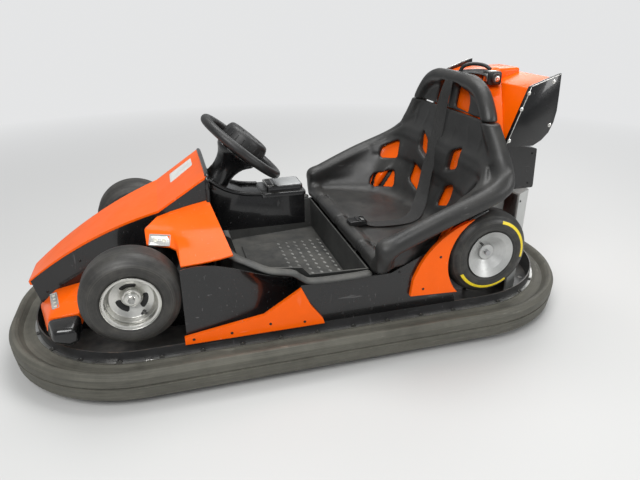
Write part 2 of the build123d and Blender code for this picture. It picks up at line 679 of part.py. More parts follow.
def build_console():
    """A narrow tunnel that drops from the nose to a box in front of the seat."""
    side = make_face([
        Line((-5, TREAD_Z + SEAT_GAP), (-5, CONSOLE_TOP_Z)),
        Line((-5, CONSOLE_TOP_Z), (-150, CONSOLE_TOP_Z)),
        ThreePointArc((-150, CONSOLE_TOP_Z), (-230, 456), (NOSE_REAR_X + SEAT_GAP, 520)),
        Line((NOSE_REAR_X + SEAT_GAP, 520), (NOSE_REAR_X + SEAT_GAP, 352)),
        Line((NOSE_REAR_X + SEAT_GAP, 352), (TUB_FRONT_X + 20, 352)),
        Line((TUB_FRONT_X + 20, 352), (-185, TREAD_Z + SEAT_GAP)),
        Line((-185, TREAD_Z + SEAT_GAP), (-5, TREAD_Z + SEAT_GAP)),
    ])
    console = slab_xz(side, -CONSOLE_HALF_WIDTH, CONSOLE_HALF_WIDTH)
    console = console - extrude(steering_plane(0) * Circle(COLUMN_RADIUS + SEAT_GAP), amount=-400)
    save("console_box", console)
    reader = block(-132, -12, -50, 50, CONSOLE_TOP_Z + SEAT_GAP, CONSOLE_TOP_Z + 22)
    save("card_reader", reader)


def steering_plane(distance):
    """A plane square to the steering shaft, a distance up from the hub towards the driver."""
    tilt = radians(STEERING_TILT)
    direction = (sin(tilt), 0, cos(tilt))
    origin = (WHEEL_HUB_X + distance * direction[0], 0, WHEEL_HUB_Z + distance * direction[2])
    return Plane(origin=origin, x_dir=(cos(tilt), 0, -sin(tilt)), z_dir=direction)


def build_steering():
    rim = steering_plane(0) * Torus(STEERING_RIM_RADIUS, STEERING_GRIP_RADIUS)
    pad = extrude(steering_plane(-14) * Circle(STEERING_PAD_RADIUS), amount=STEERING_PAD_DEPTH)
    save("steering_rim", rim)
    spokes = None
    for angle in (90, 210, 330):
        spoke = steering_plane(-6) * Rot(0, 0, angle) * Pos(STEERING_RIM_RADIUS / 2, 0, 3) * Box(STEERING_RIM_RADIUS, 30, 6)
        spokes = spoke if spokes is None else spokes + spoke
    save("steering_spokes", spokes - rim - pad)
    save("steering_pad", pad)
    shaft = extrude(steering_plane(-14.3) * Circle(SHAFT_RADIUS), amount=-COLUMN_LENGTH - 20)
    save("steering_shaft", shaft)
    column = extrude(steering_plane(-24) * Circle(COLUMN_RADIUS), amount=-COLUMN_LENGTH)
    clear = slab_xz(polygon([(-600, 0), (NOSE_REAR_X + SEAT_GAP, 0), (NOSE_REAR_X + SEAT_GAP, 900), (-600, 900)]), -200, 200)
    bore = extrude(steering_plane(0) * Circle(SHAFT_RADIUS + RUNNING_FIT), amount=-COLUMN_LENGTH - 60)
    save("steering_column", column - clear - bore)


def seat_x(z):
    """Where the front of the seat's upper back lies at a height."""
    return SEAT_BACK_X + (z - SEAT_SHOULDER_Z) * sin(radians(SEAT_RECLINE)) / cos(radians(SEAT_RECLINE))


# The inside of the bucket in plan at three heights.
# Columns: z, half-width at the front, x and y where the wing ends, x and y where the back starts, x on the middle.
SEAT_SECTIONS = [
    (SEAT_PAN_Z, 366, 318, 310, 402, 232, 448),
    (400, 388, 362, 345, 446, 262, 485),
    (SEAT_SHOULDER_Z, 408, 418, 372, 492, 290, SEAT_BACK_X),
]


def bucket_form(grow, x_front, z_low, z_high):
    """The bucket's inner form, grown outwards, between two heights."""
    sections = []
    for z, y_front, x1, y1, x2, y2, x_mid in SEAT_SECTIONS:
        left = [
            (x_front, -y_front - grow), (x1 + 0.3 * grow, -y1 - grow),
            (x2 + grow, -y2 - 0.5 * grow), (x_mid + grow, -130), (x_mid + grow, 130),
        ]
        right = [(x2 + grow, y2 + 0.5 * grow), (x1 + 0.3 * grow, y1 + grow), (x_front, y_front + grow)]
        sections.append(Pos(0, 0, z) * polygon(left + right))
    first = slab_xy(Pos(0, 0, -SEAT_PAN_Z) * sections[0], z_low, SEAT_PAN_Z) if z_low < SEAT_PAN_Z else None
    form = loft(sections[:2], ruled=True) + loft(sections[1:], ruled=True)
    if z_high > SEAT_SHOULDER_Z:
        form = form + slab_xy(Pos(0, 0, -SEAT_SHOULDER_Z) * sections[2], SEAT_SHOULDER_Z, z_high)
    return form if first is None else form + first


def edge_roll(points, radius):
    """A fat rounded edge through points."""
    roll = None
    for start, end in zip(points, points[1:]):
        a = Vector(*start)
        b = Vector(*end)
        plane = Plane(origin=a, z_dir=(b - a).normalized())
        bar = extrude(plane * Circle(radius), amount=(b - a).length) + Pos(*end) * Sphere(radius)
        roll = bar if roll is None else roll + bar
    return roll + Pos(*points[0]) * Sphere(radius)


def leaning(shape):
    """Lean a slab drawn upright at x = 0 onto the seat's upper back."""
    return Pos(seat_x(0), 0, 0) * Rot(0, SEAT_RECLINE, 0) * shape


def build_seat():
    bucket = bucket_form(SEAT_WALL, SEAT_FRONT_X, SEAT_PAN_Z - SEAT_PAN_WALL, SEAT_SHOULDER_Z)
    bucket = bucket - bucket_form(0, SEAT_FRONT_X - 50, SEAT_PAN_Z, SEAT_SHOULDER_Z + 10)
    slope = (BOLSTER_REAR_Z - BOLSTER_FRONT_Z) / (BOLSTER_REAR_X - BOLSTER_FRONT_X)
    line_front = (0, BOLSTER_FRONT_Z - slope * BOLSTER_FRONT_X)
    line_rear = (BOLSTER_REAR_X, BOLSTER_REAR_Z)
    above = slab_xz(polygon([line_front, line_rear, (BOLSTER_REAR_X, 900), (0, 900)]), -600, 600)
    bucket = bucket - above
    back_outline = polygon([
        (-292, 478), (-BOLSTER_HALF_WIDTH, BOLSTER_REAR_Z), (-SEAT_JOINT_HALF_WIDTH, SEAT_JOINT_Z),
        (SEAT_JOINT_HALF_WIDTH, SEAT_JOINT_Z), (BOLSTER_HALF_WIDTH, BOLSTER_REAR_Z), (292, 478),
    ])
    back = leaning(slab_yz(back_outline, 0, SEAT_BACK_WALL))
    shoulder = slab_xz(polygon([
        (400, line_front[1] + 400 * slope - SEAT_WALL), line_rear, (BOLSTER_REAR_X, BOLSTER_REAR_Z - SEAT_WALL),
        (400, line_front[1] + 400 * slope - 2 * SEAT_WALL),
    ]), -600, 600)
    shoulder = shoulder & slab_xy(polygon([(404, -366), (430, -384), (530, -384), (530, -280), (478, -284)]), 0, 900)
    front_roll = rod_y(SEAT_FRONT_X + 16, SEAT_PAN_Z - 14, 20, -352, 352)
    seat = bucket + back + shoulder + mirrored(shoulder) + front_roll
    joint_x = seat_x(SEAT_JOINT_Z) + 4
    path = [
        (BOLSTER_FRONT_X, -BOLSTER_HALF_WIDTH, BOLSTER_FRONT_Z),
        (BOLSTER_REAR_X - 12, -BOLSTER_HALF_WIDTH, BOLSTER_REAR_Z),
        (joint_x, -SEAT_JOINT_HALF_WIDTH, SEAT_JOINT_Z - SEAT_EDGE_RADIUS),
    ]
    roll = edge_roll(path, SEAT_EDGE_RADIUS)
    seat = seat + roll + mirrored(roll)
    seat = seat - block(300, 700, -400, 400, SEAT_JOINT_Z, 900)
    # Openings in the back. Columns: y inner, y outer, z low, z high.
    for y_in, y_out, z_low, z_high in ((72, 136, 470, 556), (76, 142, 350, 430)):
        for sign in (-1, 1):
            hole = rounded([
                (sign * y_in, z_low), (sign * y_out, z_low + 24), (sign * y_out, z_high), (sign * y_in, z_high - 24),
            ], 12)
            seat = seat - slab_yz(hole, 440, 540)
    # Openings through the corners between back and wing. Columns: z low, z high.
    for z_low, z_high in ((322, 372), (412, 470)):
        for sign in (-1, 1):
            cut = Pos(430, sign * 300, (z_low + z_high) / 2) * Rot(0, 0, sign * -45) * Box(90, 62, z_high - z_low)
            seat = seat - cut
    save("seat_shell", seat)

    foot = SEAT_JOINT_Z + SEAT_GAP
    head_outline = rounded([
        (-SEAT_JOINT_HALF_WIDTH - 10, foot), (-190, 722), (-128, HEADREST_TOP_Z),
        (128, HEADREST_TOP_Z), (190, 722), (SEAT_JOINT_HALF_WIDTH + 10, foot),
    ], 10)
    head = slab_yz(head_outline, 0, HEADREST_WALL)
    for sign in (-1, 1):
        slot = rounded([(sign * 48, 678), (sign * 84, 672), (sign * 66, 742), (sign * 48, 752)], 8)
        head = head - slab_yz(slot, -20, 80)
    head = leaning(head) - block(300, 700, -400, 400, 0, foot)
    save("headrest", head)


def build_rear():
    spine_points = [
        (548, REAR_BODY_TOP_Z + SEAT_GAP), (560, 600), (572, 770), (560, 796), (566, COVER_TOP_Z), (640, COVER_TOP_Z - 6),
        (700, 780), (716, 590), (690, REAR_BODY_TOP_Z + SEAT_GAP),
    ]
    spine = slab_xz(rounded(spine_points, 8), -70, 70)
    plate_points = [(570, 596), (592, 772), (704, 800), (704, 792), (602, 756), (584, 596)]
    plate = slab_xz(rounded(plate_points, 3), -WING_HALF_SPAN, WING_HALF_SPAN)
    save("engine_cover", spine + plate)
    endplate_points = [(562, 594), (584, 775), (704, 803), (706, 684), (640, 596)]
    outer = -WING_HALF_SPAN - SEAT_GAP - ENDPLATE_WALL
    endplate = slab_xz(rounded(endplate_points, 6), outer, -WING_HALF_SPAN - SEAT_GAP)
    save("wing_endplates", pair(endplate))
    black = slab_xz(rounded([(590, REAR_BODY_TOP_Z + SEAT_GAP), (600, 588), (735, 560), (REAR_BODY_X, REAR_BODY_TOP_Z + SEAT_GAP)], 6), -210, -70.3)
    save("rear_panels", pair(black))
    # Columns: x and half-width of the rear body, from the front backwards.
    stations = [(540, 205), (646, 205), (660, 258), (716, 226), (REAR_BODY_X, 120)]
    outer_side = [(x, -y) for x, y in stations]
    inner_side = [(x - (0 if x < 600 else 5), -(y - 5)) for x, y in stations]
    flank = slab_xy(polygon(outer_side + [(x, -y) for x, y in reversed(outer_side)]), PAN_Z + SEAT_GAP, REAR_BODY_TOP_Z)
    core = slab_xy(polygon(inner_side + [(x, -y) for x, y in reversed(inner_side)]), 0, 422)
    save("rear_body", flank - core)


def build_belt():
    belt = polygon([
        (532, 786), (528, 786), (496, 560), (470, 420), (436, 312), (250, 303), (250, SEAT_PAN_Z + SEAT_GAP),
        (438, SEAT_PAN_Z + 9), (474, 418), (500, 560),
    ])
    save("seat_belt", slab_xz(belt, -24, 24))
    save("belt_buckle", block(196, 249.7, -32, 32, SEAT_PAN_Z + SEAT_GAP, SEAT_PAN_Z + 18))
    save("belt_retractor", block(580, 630, -106, -70 - SEAT_GAP, 783, 816))


build_ring()
build_pan()
build_drive_unit()
build_carriers()
build_show_wheels()
build_axles()
build_nose()
build_front_wing()
build_front_cowls()
build_sides()
build_tub()
build_console()
build_steering()
build_seat()
build_rear()
build_belt()
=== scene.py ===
import bpy, bmesh, json, math
from mathutils import Matrix, Vector
from mathutils.bvhtree import BVHTree
import numpy as np


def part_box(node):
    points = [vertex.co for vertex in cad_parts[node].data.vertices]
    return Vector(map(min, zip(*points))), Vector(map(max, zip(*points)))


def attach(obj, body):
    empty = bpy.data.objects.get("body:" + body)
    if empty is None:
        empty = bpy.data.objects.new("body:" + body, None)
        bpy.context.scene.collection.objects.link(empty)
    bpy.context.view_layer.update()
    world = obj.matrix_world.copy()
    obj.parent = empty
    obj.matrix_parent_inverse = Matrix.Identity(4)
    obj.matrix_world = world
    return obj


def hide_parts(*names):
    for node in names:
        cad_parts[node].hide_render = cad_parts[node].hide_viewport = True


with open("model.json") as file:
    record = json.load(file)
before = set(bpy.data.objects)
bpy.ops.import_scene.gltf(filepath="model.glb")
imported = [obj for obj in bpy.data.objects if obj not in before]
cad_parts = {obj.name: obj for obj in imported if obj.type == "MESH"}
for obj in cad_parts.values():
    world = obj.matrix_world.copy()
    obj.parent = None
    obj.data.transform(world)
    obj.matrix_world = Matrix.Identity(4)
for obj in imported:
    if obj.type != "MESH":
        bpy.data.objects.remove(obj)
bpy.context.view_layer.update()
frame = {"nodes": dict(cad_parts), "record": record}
NODES = frame["nodes"]


class Tree:
    """A small wrapper that adds nodes and links to one material."""

    def __init__(self, name):
        self.mat = bpy.data.materials.new(name)
        self.mat.use_nodes = True
        self.nt = self.mat.node_tree
        self.nt.nodes.clear()
        self.out = self.add("OutputMaterial")
        self.bsdf = self.add("BsdfPrincipled")
        self.nt.links.new(self.bsdf.outputs[0], self.out.inputs[0])
        self.coord = self.node("TexCoord", "Object")

    def add(self, kind, **props):
        node = self.nt.nodes.new("ShaderNode" + kind)
        for key, value in props.items():
            setattr(node, key, value)
        return node

    def fill(self, node, inputs):
        """Set or link a node's inputs."""
        for key, value in inputs.items():
            if isinstance(value, bpy.types.NodeSocket):
                self.nt.links.new(value, node.inputs[key])
            else:
                node.inputs[key].default_value = value

    def node(self, kind, output=0, inputs=None, **props):
        """Add a node with its inputs filled, and return one of its outputs."""
        node = self.add(kind, **props)
        self.fill(node, inputs or {})
        return node.outputs[output]

    def math(self, op, a, b=0.0):
        return self.node("Math", 0, {0: a, 1: b}, operation=op)

    def plus(self, a, b):
        return self.math("ADD", a, b)

    def minus(self, a, b):
        return self.math("SUBTRACT", a, b)

    def times(self, a, b):
        return self.math("MULTIPLY", a, b)

    def hypot(self, a, b):
        return self.math("SQRT", self.plus(self.times(a, a), self.times(b, b)))

    def dot(self, a, b):
        return self.node("VectorMath", "Value", {0: a, 1: b}, operation="DOT_PRODUCT")

    def xyz(self, vector):
        node = self.add("SeparateXYZ")
        self.fill(node, {0: vector})
        return node.outputs

    def join(self, x, y, z):
        return self.node("CombineXYZ", 0, {0: x, 1: y, 2: z})

    def noise(self, scale, detail=4.0, rough=0.55, vector=None):
        return self.node("TexNoise", "Fac", {"Vector": vector or self.coord, "Scale": scale, "Detail": detail,
                                             "Roughness": rough})

    def voronoi(self, scale, randomness=1.0):
        return self.node("TexVoronoi", "Distance", {"Vector": self.coord, "Scale": scale, "Randomness": randomness})

    def ramp(self, value, low, high, to_low=0.0, to_high=1.0):
        return self.node("MapRange", 0, {"Value": value, "From Min": low, "From Max": high, "To Min": to_low,
                                         "To Max": to_high}, clamp=True)

    def mix(self, factor, a, b):
        return self.node("Mix", 2, {"Factor": factor, 6: a, 7: b}, data_type="RGBA")

    def bump(self, height, strength, distance, normal=None):
        inputs = {"Height": height, "Strength": strength, "Distance": distance}
        if normal:
            inputs["Normal"] = normal
        return self.node("Bump", 0, inputs)

    def rounding(self, radius):
        return self.node("Bevel", 0, {"Radius": radius}, samples=4)


def rgb(color, gain=1.0):
    return (color[0] * gain, color[1] * gain, color[2] * gain, 1.0)


def finish(name, color, rough, grain, blotch, scratch, dust, edge, metal=0.0, coat=0.0, coat_rough=0.08,
           specular=0.5, rough_span=0.12, round_edge=0.0, extra=None):
    """A worn everyday surface: blotchy colour, uneven gloss, grain, scratches, dust and rubbed edges."""
    t = Tree(name)
    tone = rgb(color)
    if blotch:
        scale, amount = blotch
        large = t.noise(scale, 5.0, 0.6)
        small = t.noise(scale * 6.3, 4.0, 0.6)
        mask = t.ramp(t.plus(t.times(large, 0.65), t.times(small, 0.35)), 0.32, 0.68)
        tone = t.mix(mask, rgb(color, 1 - amount), rgb(color, 1 + amount))
    gloss = t.ramp(t.noise(9.0, 5.0, 0.65), 0.3, 0.7, rough - rough_span / 2, rough + rough_span)
    normal = t.rounding(round_edge) if round_edge else None
    if grain:
        scale, strength, distance = grain
        height = t.plus(t.noise(scale, 3.0, 0.6), t.times(t.voronoi(scale * 0.6), 0.5))
        normal = t.bump(height, strength, distance, normal)
    if scratch:
        amount, lighten = scratch
        lines = None
        for angle, stretch in ((0.4, (1.0, 34.0, 9.0)), (-0.9, (27.0, 1.4, 8.0)), (1.9, (5.0, 30.0, 1.2))):
            turned = t.node("Mapping", 0, {"Vector": t.coord, "Rotation": (angle * 0.7, angle, angle * 1.3),
                                           "Scale": stretch})
            line = t.ramp(t.noise(9.0, 2.0, 0.5, turned), 0.70, 0.74)
            lines = line if lines is None else t.math("MAXIMUM", lines, line)
        patches = t.ramp(t.noise(4.0, 3.0, 0.5), 0.42, 0.62)
        lines = t.times(t.times(lines, patches), amount)
        tone = t.mix(lines, tone, rgb([min(1, c + lighten) for c in color]))
        gloss = t.plus(gloss, t.times(lines, 0.3))
    if dust:
        amount, dust_color = dust
        up = t.xyz(t.node("TexCoord", "Normal"))[2]
        lying = t.times(t.ramp(up, 0.1, 0.95), t.ramp(t.noise(14.0, 6.0, 0.7), 0.35, 0.75))
        lying = t.times(lying, amount)
        tone = t.mix(lying, tone, rgb(dust_color))
        gloss = t.plus(gloss, t.times(lying, 0.35))
    if edge:
        amount, radius, edge_color = edge
        turn = t.minus(1.0, t.dot(t.rounding(radius), t.node("NewGeometry", "Normal")))
        rub = t.times(t.ramp(turn, 0.04, 0.22), t.ramp(t.noise(45.0, 5.0, 0.7), 0.46, 0.62))
        rub = t.times(rub, amount)
        tone = t.mix(rub, tone, rgb(edge_color))
    if extra:
        tone, gloss, normal = extra(t, tone, gloss, normal)
    t.fill(t.bsdf, {"Base Color": tone, "Roughness": gloss, "Metallic": metal, "Coat Weight": coat,
                    "Coat Roughness": coat_rough, "Specular IOR Level": specular})
    if normal:
        t.fill(t.bsdf, {"Normal": normal})
    MATERIALS[name] = t.mat


def ring_distance(t):
    """How far out a point lies across the bumper ring, with how far along it lies."""
    straight_x, straight_y = 0.519, 0.024
    x, y, z = t.xyz(t.coord)
    out_x = t.math("MAXIMUM", t.minus(t.math("ABSOLUTE", x), straight_x), 0.0)
    out_y = t.math("MAXIMUM", t.minus(t.math("ABSOLUTE", y), straight_y), 0.0)
    return t.hypot(out_x, out_y), t.plus(x, y), z


def rubber_streaks(t, tone, gloss, normal):
    out, along, z = ring_distance(t)
    lines = t.noise(1.0, 3.0, 0.6, t.join(t.times(out, 330.0), t.times(along, 2.2), t.times(z, 300.0)))
    broad = t.noise(1.0, 4.0, 0.6, t.join(t.times(out, 60.0), t.times(along, 3.5), t.times(z, 50.0)))
    tone = t.mix(t.ramp(lines, 0.45, 0.75, 0.0, 0.5), tone, rgb((0.16, 0.155, 0.125)))
    tone = t.mix(t.ramp(broad, 0.52, 0.78, 0.0, 0.6), tone, rgb((0.045, 0.044, 0.038)))
    patches = t.noise(1.0, 5.0, 0.7, t.join(t.times(out, 40.0), t.times(along, 9.0), t.times(z, 120.0)))
    scuffs = t.ramp(patches, 0.62, 0.7)
    tone = t.mix(t.times(scuffs, 0.5), tone, rgb((0.26, 0.25, 0.21)))
    normal = t.bump(t.plus(lines, t.times(broad, 0.6)), 0.35, 0.0012, normal)
    return tone, gloss, normal


def wheel_radius(t, x, z):
    """How far a point lies from a wheel's axis, and along it."""
    px, py, pz = t.xyz(t.coord)
    return t.hypot(t.minus(px, x), t.minus(pz, z)), py


def lathe_lines(x, z, strength):
    """Fine turned lines round a wheel's axis."""
    def extra(t, tone, gloss, normal):
        radius, along = wheel_radius(t, x, z)
        lines = t.noise(1.0, 2.0, 0.5, t.join(t.times(radius, 1400.0), t.times(along, 900.0), 0.0))
        tone = t.mix(t.ramp(lines, 0.35, 0.7, 0.0, 0.35), tone, rgb((0.30, 0.30, 0.28)))
        normal = t.bump(lines, strength, 0.0004, normal)
        return tone, gloss, normal
    return extra


def tyre_marks(x, z):
    """Rings moulded in the wall, rub marks round the tread and brownish dust."""
    def extra(t, tone, gloss, normal):
        radius, along = wheel_radius(t, x, z)
        rings = t.noise(1.0, 2.0, 0.5, t.join(t.times(radius, 420.0), t.times(along, 160.0), 0.0))
        tone = t.mix(t.ramp(rings, 0.5, 0.8, 0.0, 0.55), tone, rgb((0.10, 0.095, 0.08)))
        worn = t.ramp(t.noise(22.0, 6.0, 0.7), 0.45, 0.72, 0.0, 0.45)
        tone = t.mix(worn, tone, rgb((0.085, 0.08, 0.068)))
        normal = t.bump(rings, 0.25, 0.0006, normal)
        return tone, gloss, normal
    return extra


def weave(t, tone, gloss, normal):
    """Woven threads, by their spacing across and along the strap."""
    thread, row = 0.0016, 0.0022
    x, y, z = t.xyz(t.coord)
    across = t.math("SINE", t.times(y, 2 * math.pi / thread))
    along = t.math("SINE", t.times(t.plus(x, z), 2 * math.pi / row))
    height = t.times(across, along)
    tone = t.mix(t.ramp(height, -0.6, 0.9, 0.0, 0.5), tone, rgb((0.10, 0.10, 0.098)))
    normal = t.bump(height, 0.5, 0.0004, normal)
    return tone, gloss, normal


DUST = (0.20, 0.19, 0.165)
MATERIALS = {}
FINISHES = [
    ("orange_paint", (0.93, 0.120, 0.0), 0.32, (260, 0.03, 0.0006), (3, 0.07), (0.35, 0.25), (0.03, DUST),
     (0.5, 0.003, (0.09, 0.05, 0.03)),
     dict(coat=0.14, coat_rough=0.06, specular=0.16, rough_span=0.1, round_edge=0.003)),
    ("black_paint", (0.006, 0.006, 0.0065), 0.2, (240, 0.03, 0.0006), (4, 0.3), (0.45, 0.16), (0.12, DUST),
     (0.45, 0.003, (0.12, 0.12, 0.11)),
     dict(coat=0.55, coat_rough=0.05, specular=0.35, rough_span=0.14, round_edge=0.003)),
    ("grey_paint", (0.46, 0.465, 0.45), 0.38, (220, 0.05, 0.0006), (5, 0.1), (0.4, -0.15), (0.25, DUST),
     (0.6, 0.003, (0.12, 0.12, 0.11)), dict(coat=0.3, round_edge=0.003)),
    ("bumper_rubber", (0.088, 0.085, 0.07), 0.62, (420, 0.25, 0.0008), (7, 0.25), None, (0.35, (0.19, 0.18, 0.15)),
     (0.6, 0.006, (0.2, 0.19, 0.16)), dict(extra=rubber_streaks, specular=0.4)),
    ("strip_metal", (0.62, 0.62, 0.6), 0.36, (500, 0.12, 0.0004), (20, 0.25), (0.7, 0.2), (0.3, DUST), None,
     dict(metal=1)),
    ("frame_steel", (0.022, 0.022, 0.023), 0.46, (160, 0.25, 0.0008), (9, 0.35), (0.5, 0.12), (0.5, DUST),
     (0.8, 0.003, (0.16, 0.085, 0.045)), dict(coat=0.2, round_edge=0.002)),
    ("axle_steel", (0.42, 0.42, 0.43), 0.34, (300, 0.12, 0.0005), (14, 0.25), (0.5, 0.2), (0.3, (0.16, 0.12, 0.08)),
     None, dict(metal=1)),
    ("tub_plastic", (0.042, 0.043, 0.041), 0.5, (650, 0.3, 0.0006), (6, 0.22), (0.7, 0.12), (0.45, DUST),
     (0.6, 0.004, (0.13, 0.13, 0.12)), dict(round_edge=0.004)),
    ("pedal_metal", (0.1, 0.1, 0.097), 0.45, (300, 0.3, 0.0006), (10, 0.25), (0.7, 0.2), (0.35, DUST),
     (0.7, 0.003, (0.25, 0.25, 0.24)), {}),
    ("reader_plastic", (0.012, 0.012, 0.013), 0.22, (300, 0.05, 0.0005), (12, 0.2), (0.5, 0.15), (0.15, DUST), None,
     dict(coat=0.5, round_edge=0.002)),
    ("seat_plastic", (0.019, 0.019, 0.0185), 0.38, (900, 0.28, 0.0005), (5, 0.2), (0.5, 0.08), (0.18, DUST),
     (0.4, 0.006, (0.08, 0.08, 0.078)), dict(round_edge=0.006)),
    ("webbing", (0.012, 0.012, 0.0115), 0.72, None, (30, 0.25), None, None, None, dict(extra=weave)),
    ("buckle_plastic", (0.014, 0.014, 0.014), 0.36, (600, 0.2, 0.0004), (20, 0.2), (0.5, 0.15), None, None,
     dict(round_edge=0.0015)),
    ("grip_plastic", (0.018, 0.018, 0.018), 0.38, (700, 0.25, 0.0005), (12, 0.25), (0.4, 0.12), (0.08, DUST), None,
     dict(round_edge=0.004)),
    ("motor_paint", (0.11, 0.12, 0.125), 0.45, (200, 0.2, 0.0006), (9, 0.2), (0.4, 0.15), (0.4, DUST),
     (0.6, 0.003, (0.2, 0.2, 0.2)), dict(coat=0.2)),
    ("solid_tyre", (0.032, 0.031, 0.029), 0.66, (500, 0.35, 0.0008), (14, 0.3), None, (0.5, DUST), None, {}),
    ("tyre_front", (0.026, 0.025, 0.023), 0.5, (560, 0.28, 0.0007), (11, 0.25), None, None, None,
     dict(extra=tyre_marks(-0.551, 0.279))),
    ("tyre_rear", (0.016, 0.016, 0.015), 0.42, (560, 0.22, 0.0006), (11, 0.25), None, None, None,
     dict(extra=tyre_marks(0.507, 0.279))),
    ("rim_aluminium", (0.7, 0.695, 0.66), 0.3, (300, 0.06, 0.0004), (18, 0.12), (0.5, 0.2), None, None,
     dict(metal=1, extra=lathe_lines(-0.551, 0.279, 0.25), round_edge=0.0015)),
    ("rim_grey", (0.52, 0.525, 0.515), 0.36, (300, 0.06, 0.0004), (12, 0.1), (0.4, -0.15), None, None,
     dict(metal=0.55, coat=0.3, extra=lathe_lines(0.507, 0.279, 0.15), round_edge=0.0015)),
    # The tread bumps' pale grey is painted highlight: it stands in for the gleam on the raised bumps of the dark plate.
    ("tread_bump", (0.26, 0.26, 0.245), 0.3, (500, 0.15, 0.0004), (30, 0.35), None, None,
     (0.8, 0.002, (0.3, 0.3, 0.28)), {}),
    ("clip_plastic", (0.016, 0.016, 0.015), 0.45, (600, 0.2, 0.0004), (25, 0.3), None, (0.4, DUST), None,
     dict(round_edge=0.001)),
    ("bolt_steel", (0.36, 0.36, 0.35), 0.34, (700, 0.15, 0.0003), (60, 0.35), (0.6, 0.3), (0.3, (0.16, 0.11, 0.07)),
     None, dict(metal=1)),
    ("bright_steel", (0.74, 0.73, 0.7), 0.24, (700, 0.08, 0.0003), (50, 0.18), (0.6, 0.2), None, None, dict(metal=1)),
    ("label_white", (0.7, 0.7, 0.67), 0.36, (500, 0.05, 0.0003), (26, 0.09), (0.6, -0.25), (0.25, DUST),
     (0.6, 0.002, (0.35, 0.33, 0.29)), {}),
    ("label_silver", (0.56, 0.57, 0.57), 0.3, (600, 0.06, 0.0003), (24, 0.12), (0.8, -0.2), (0.2, DUST), None,
     dict(metal=0.35)),
    ("lamp_trim", (0.4, 0.4, 0.385), 0.25, (400, 0.05, 0.0003), (30, 0.12), (0.5, -0.15), (0.2, DUST), None,
     dict(coat=0.6)),
    ("lamp_bulb", (0.62, 0.6, 0.5), 0.16, (900, 0.2, 0.0003), (60, 0.12), None, None, None, dict(coat=0.9)),
    ("screw_black", (0.012, 0.012, 0.012), 0.34, (700, 0.12, 0.0003), (60, 0.4), (0.7, 0.3), None,
     (0.6, 0.001, (0.2, 0.2, 0.19)), dict(metal=0.3)),
    ("valve_rubber", (0.014, 0.014, 0.013), 0.5, (900, 0.2, 0.0003), (60, 0.3), None, None, None, {}),
    ("stitch_thread", (0.09, 0.09, 0.085), 0.7, (3000, 0.4, 0.0002), (200, 0.3), None, None, None, {}),
    ("cable_rubber", (0.014, 0.014, 0.014), 0.46, (900, 0.2, 0.0003), (40, 0.3), None, (0.4, DUST), None, {}),
    ("yellow_mark", (0.86, 0.66, 0.02), 0.42, (560, 0.15, 0.0004), (20, 0.12), (0.7, -0.35), (0.15, DUST), None, {}),
]
for row in FINISHES:
    finish(*row[:-1], **row[-1])


def lens_material():
    t = Tree("lamp_lens")
    cells = t.voronoi(220.0, randomness=0.0)
    tone = t.mix(t.ramp(cells, 0.1, 0.6), rgb((0.80, 0.80, 0.76)), rgb((0.42, 0.42, 0.40)))
    t.fill(t.bsdf, {"Base Color": tone, "Roughness": 0.12, "Coat Weight": 1.0, "Coat Roughness": 0.04,
                    "Metallic": 0.25, "Normal": t.bump(cells, 0.6, 0.001)})
    MATERIALS["lamp_lens"] = t.mat


lens_material()
SLOT_OF = {row["node"]: row["material_slot"] for row in frame["record"]["subparts"]}
for node, obj in NODES.items():
    key = SLOT_OF[node]
    if key == "tyre":
        key = "tyre_front" if node.startswith("front") else "tyre_rear"
    obj.data.materials.clear()
    obj.data.materials.append(MATERIALS[key])


# Places and sizes that several pieces share, in mm
FRONT_AXLE, REAR_AXLE = (-551, 279), (507, 279)
FRONT_FACE, REAR_FACE = 368, 367
TYRE_RADIUS, TYRE_INSIDE = 136, 269
HANDS = (("left", 1), ("right", -1))
UP = (0, 0, 1)


def mm(*values):
    return Vector(values) / 1000


def polar(centre, radius, degrees):
    """A point in a side view, given by its angle from the car's rear."""
    turn = math.radians(degrees)
    return centre[0] + radius * math.cos(turn), centre[1] + radius * math.sin(turn)


def unit(vector):
    return Vector(vector).normalized()


def aim(point, z_dir, x_hint=(1, 0, 0)):
    """A frame at a point (mm), with its Z along z_dir."""
    z = unit(z_dir)
    x = Vector(x_hint)
    x = x - z * x.dot(z)
    if x.length < 1e-4:
        x = Vector((0, 1, 0)) - z * z.y
    x.normalize()
    y = z.cross(x)
    matrix = Matrix((x, y, z)).transposed().to_4x4()
    matrix.translation = Vector(point) / 1000
    return matrix


def new_object(name, data):
    obj = bpy.data.objects.new(name, data)
    bpy.context.scene.collection.objects.link(obj)
    return obj


def heading(points, i):
    """The direction of a line at one of its points."""
    return (points[min(i + 1, len(points) - 1)] - points[max(i - 1, 0)]).normalized()


def shrunk(outline, middle, inset):
    """An outline's points, drawn in towards its middle."""
    arms = [Vector(p) - middle for p in outline]
    return [middle + arm * max(0.0, 1 - inset / max(arm.length, 0.01)) for arm in arms]


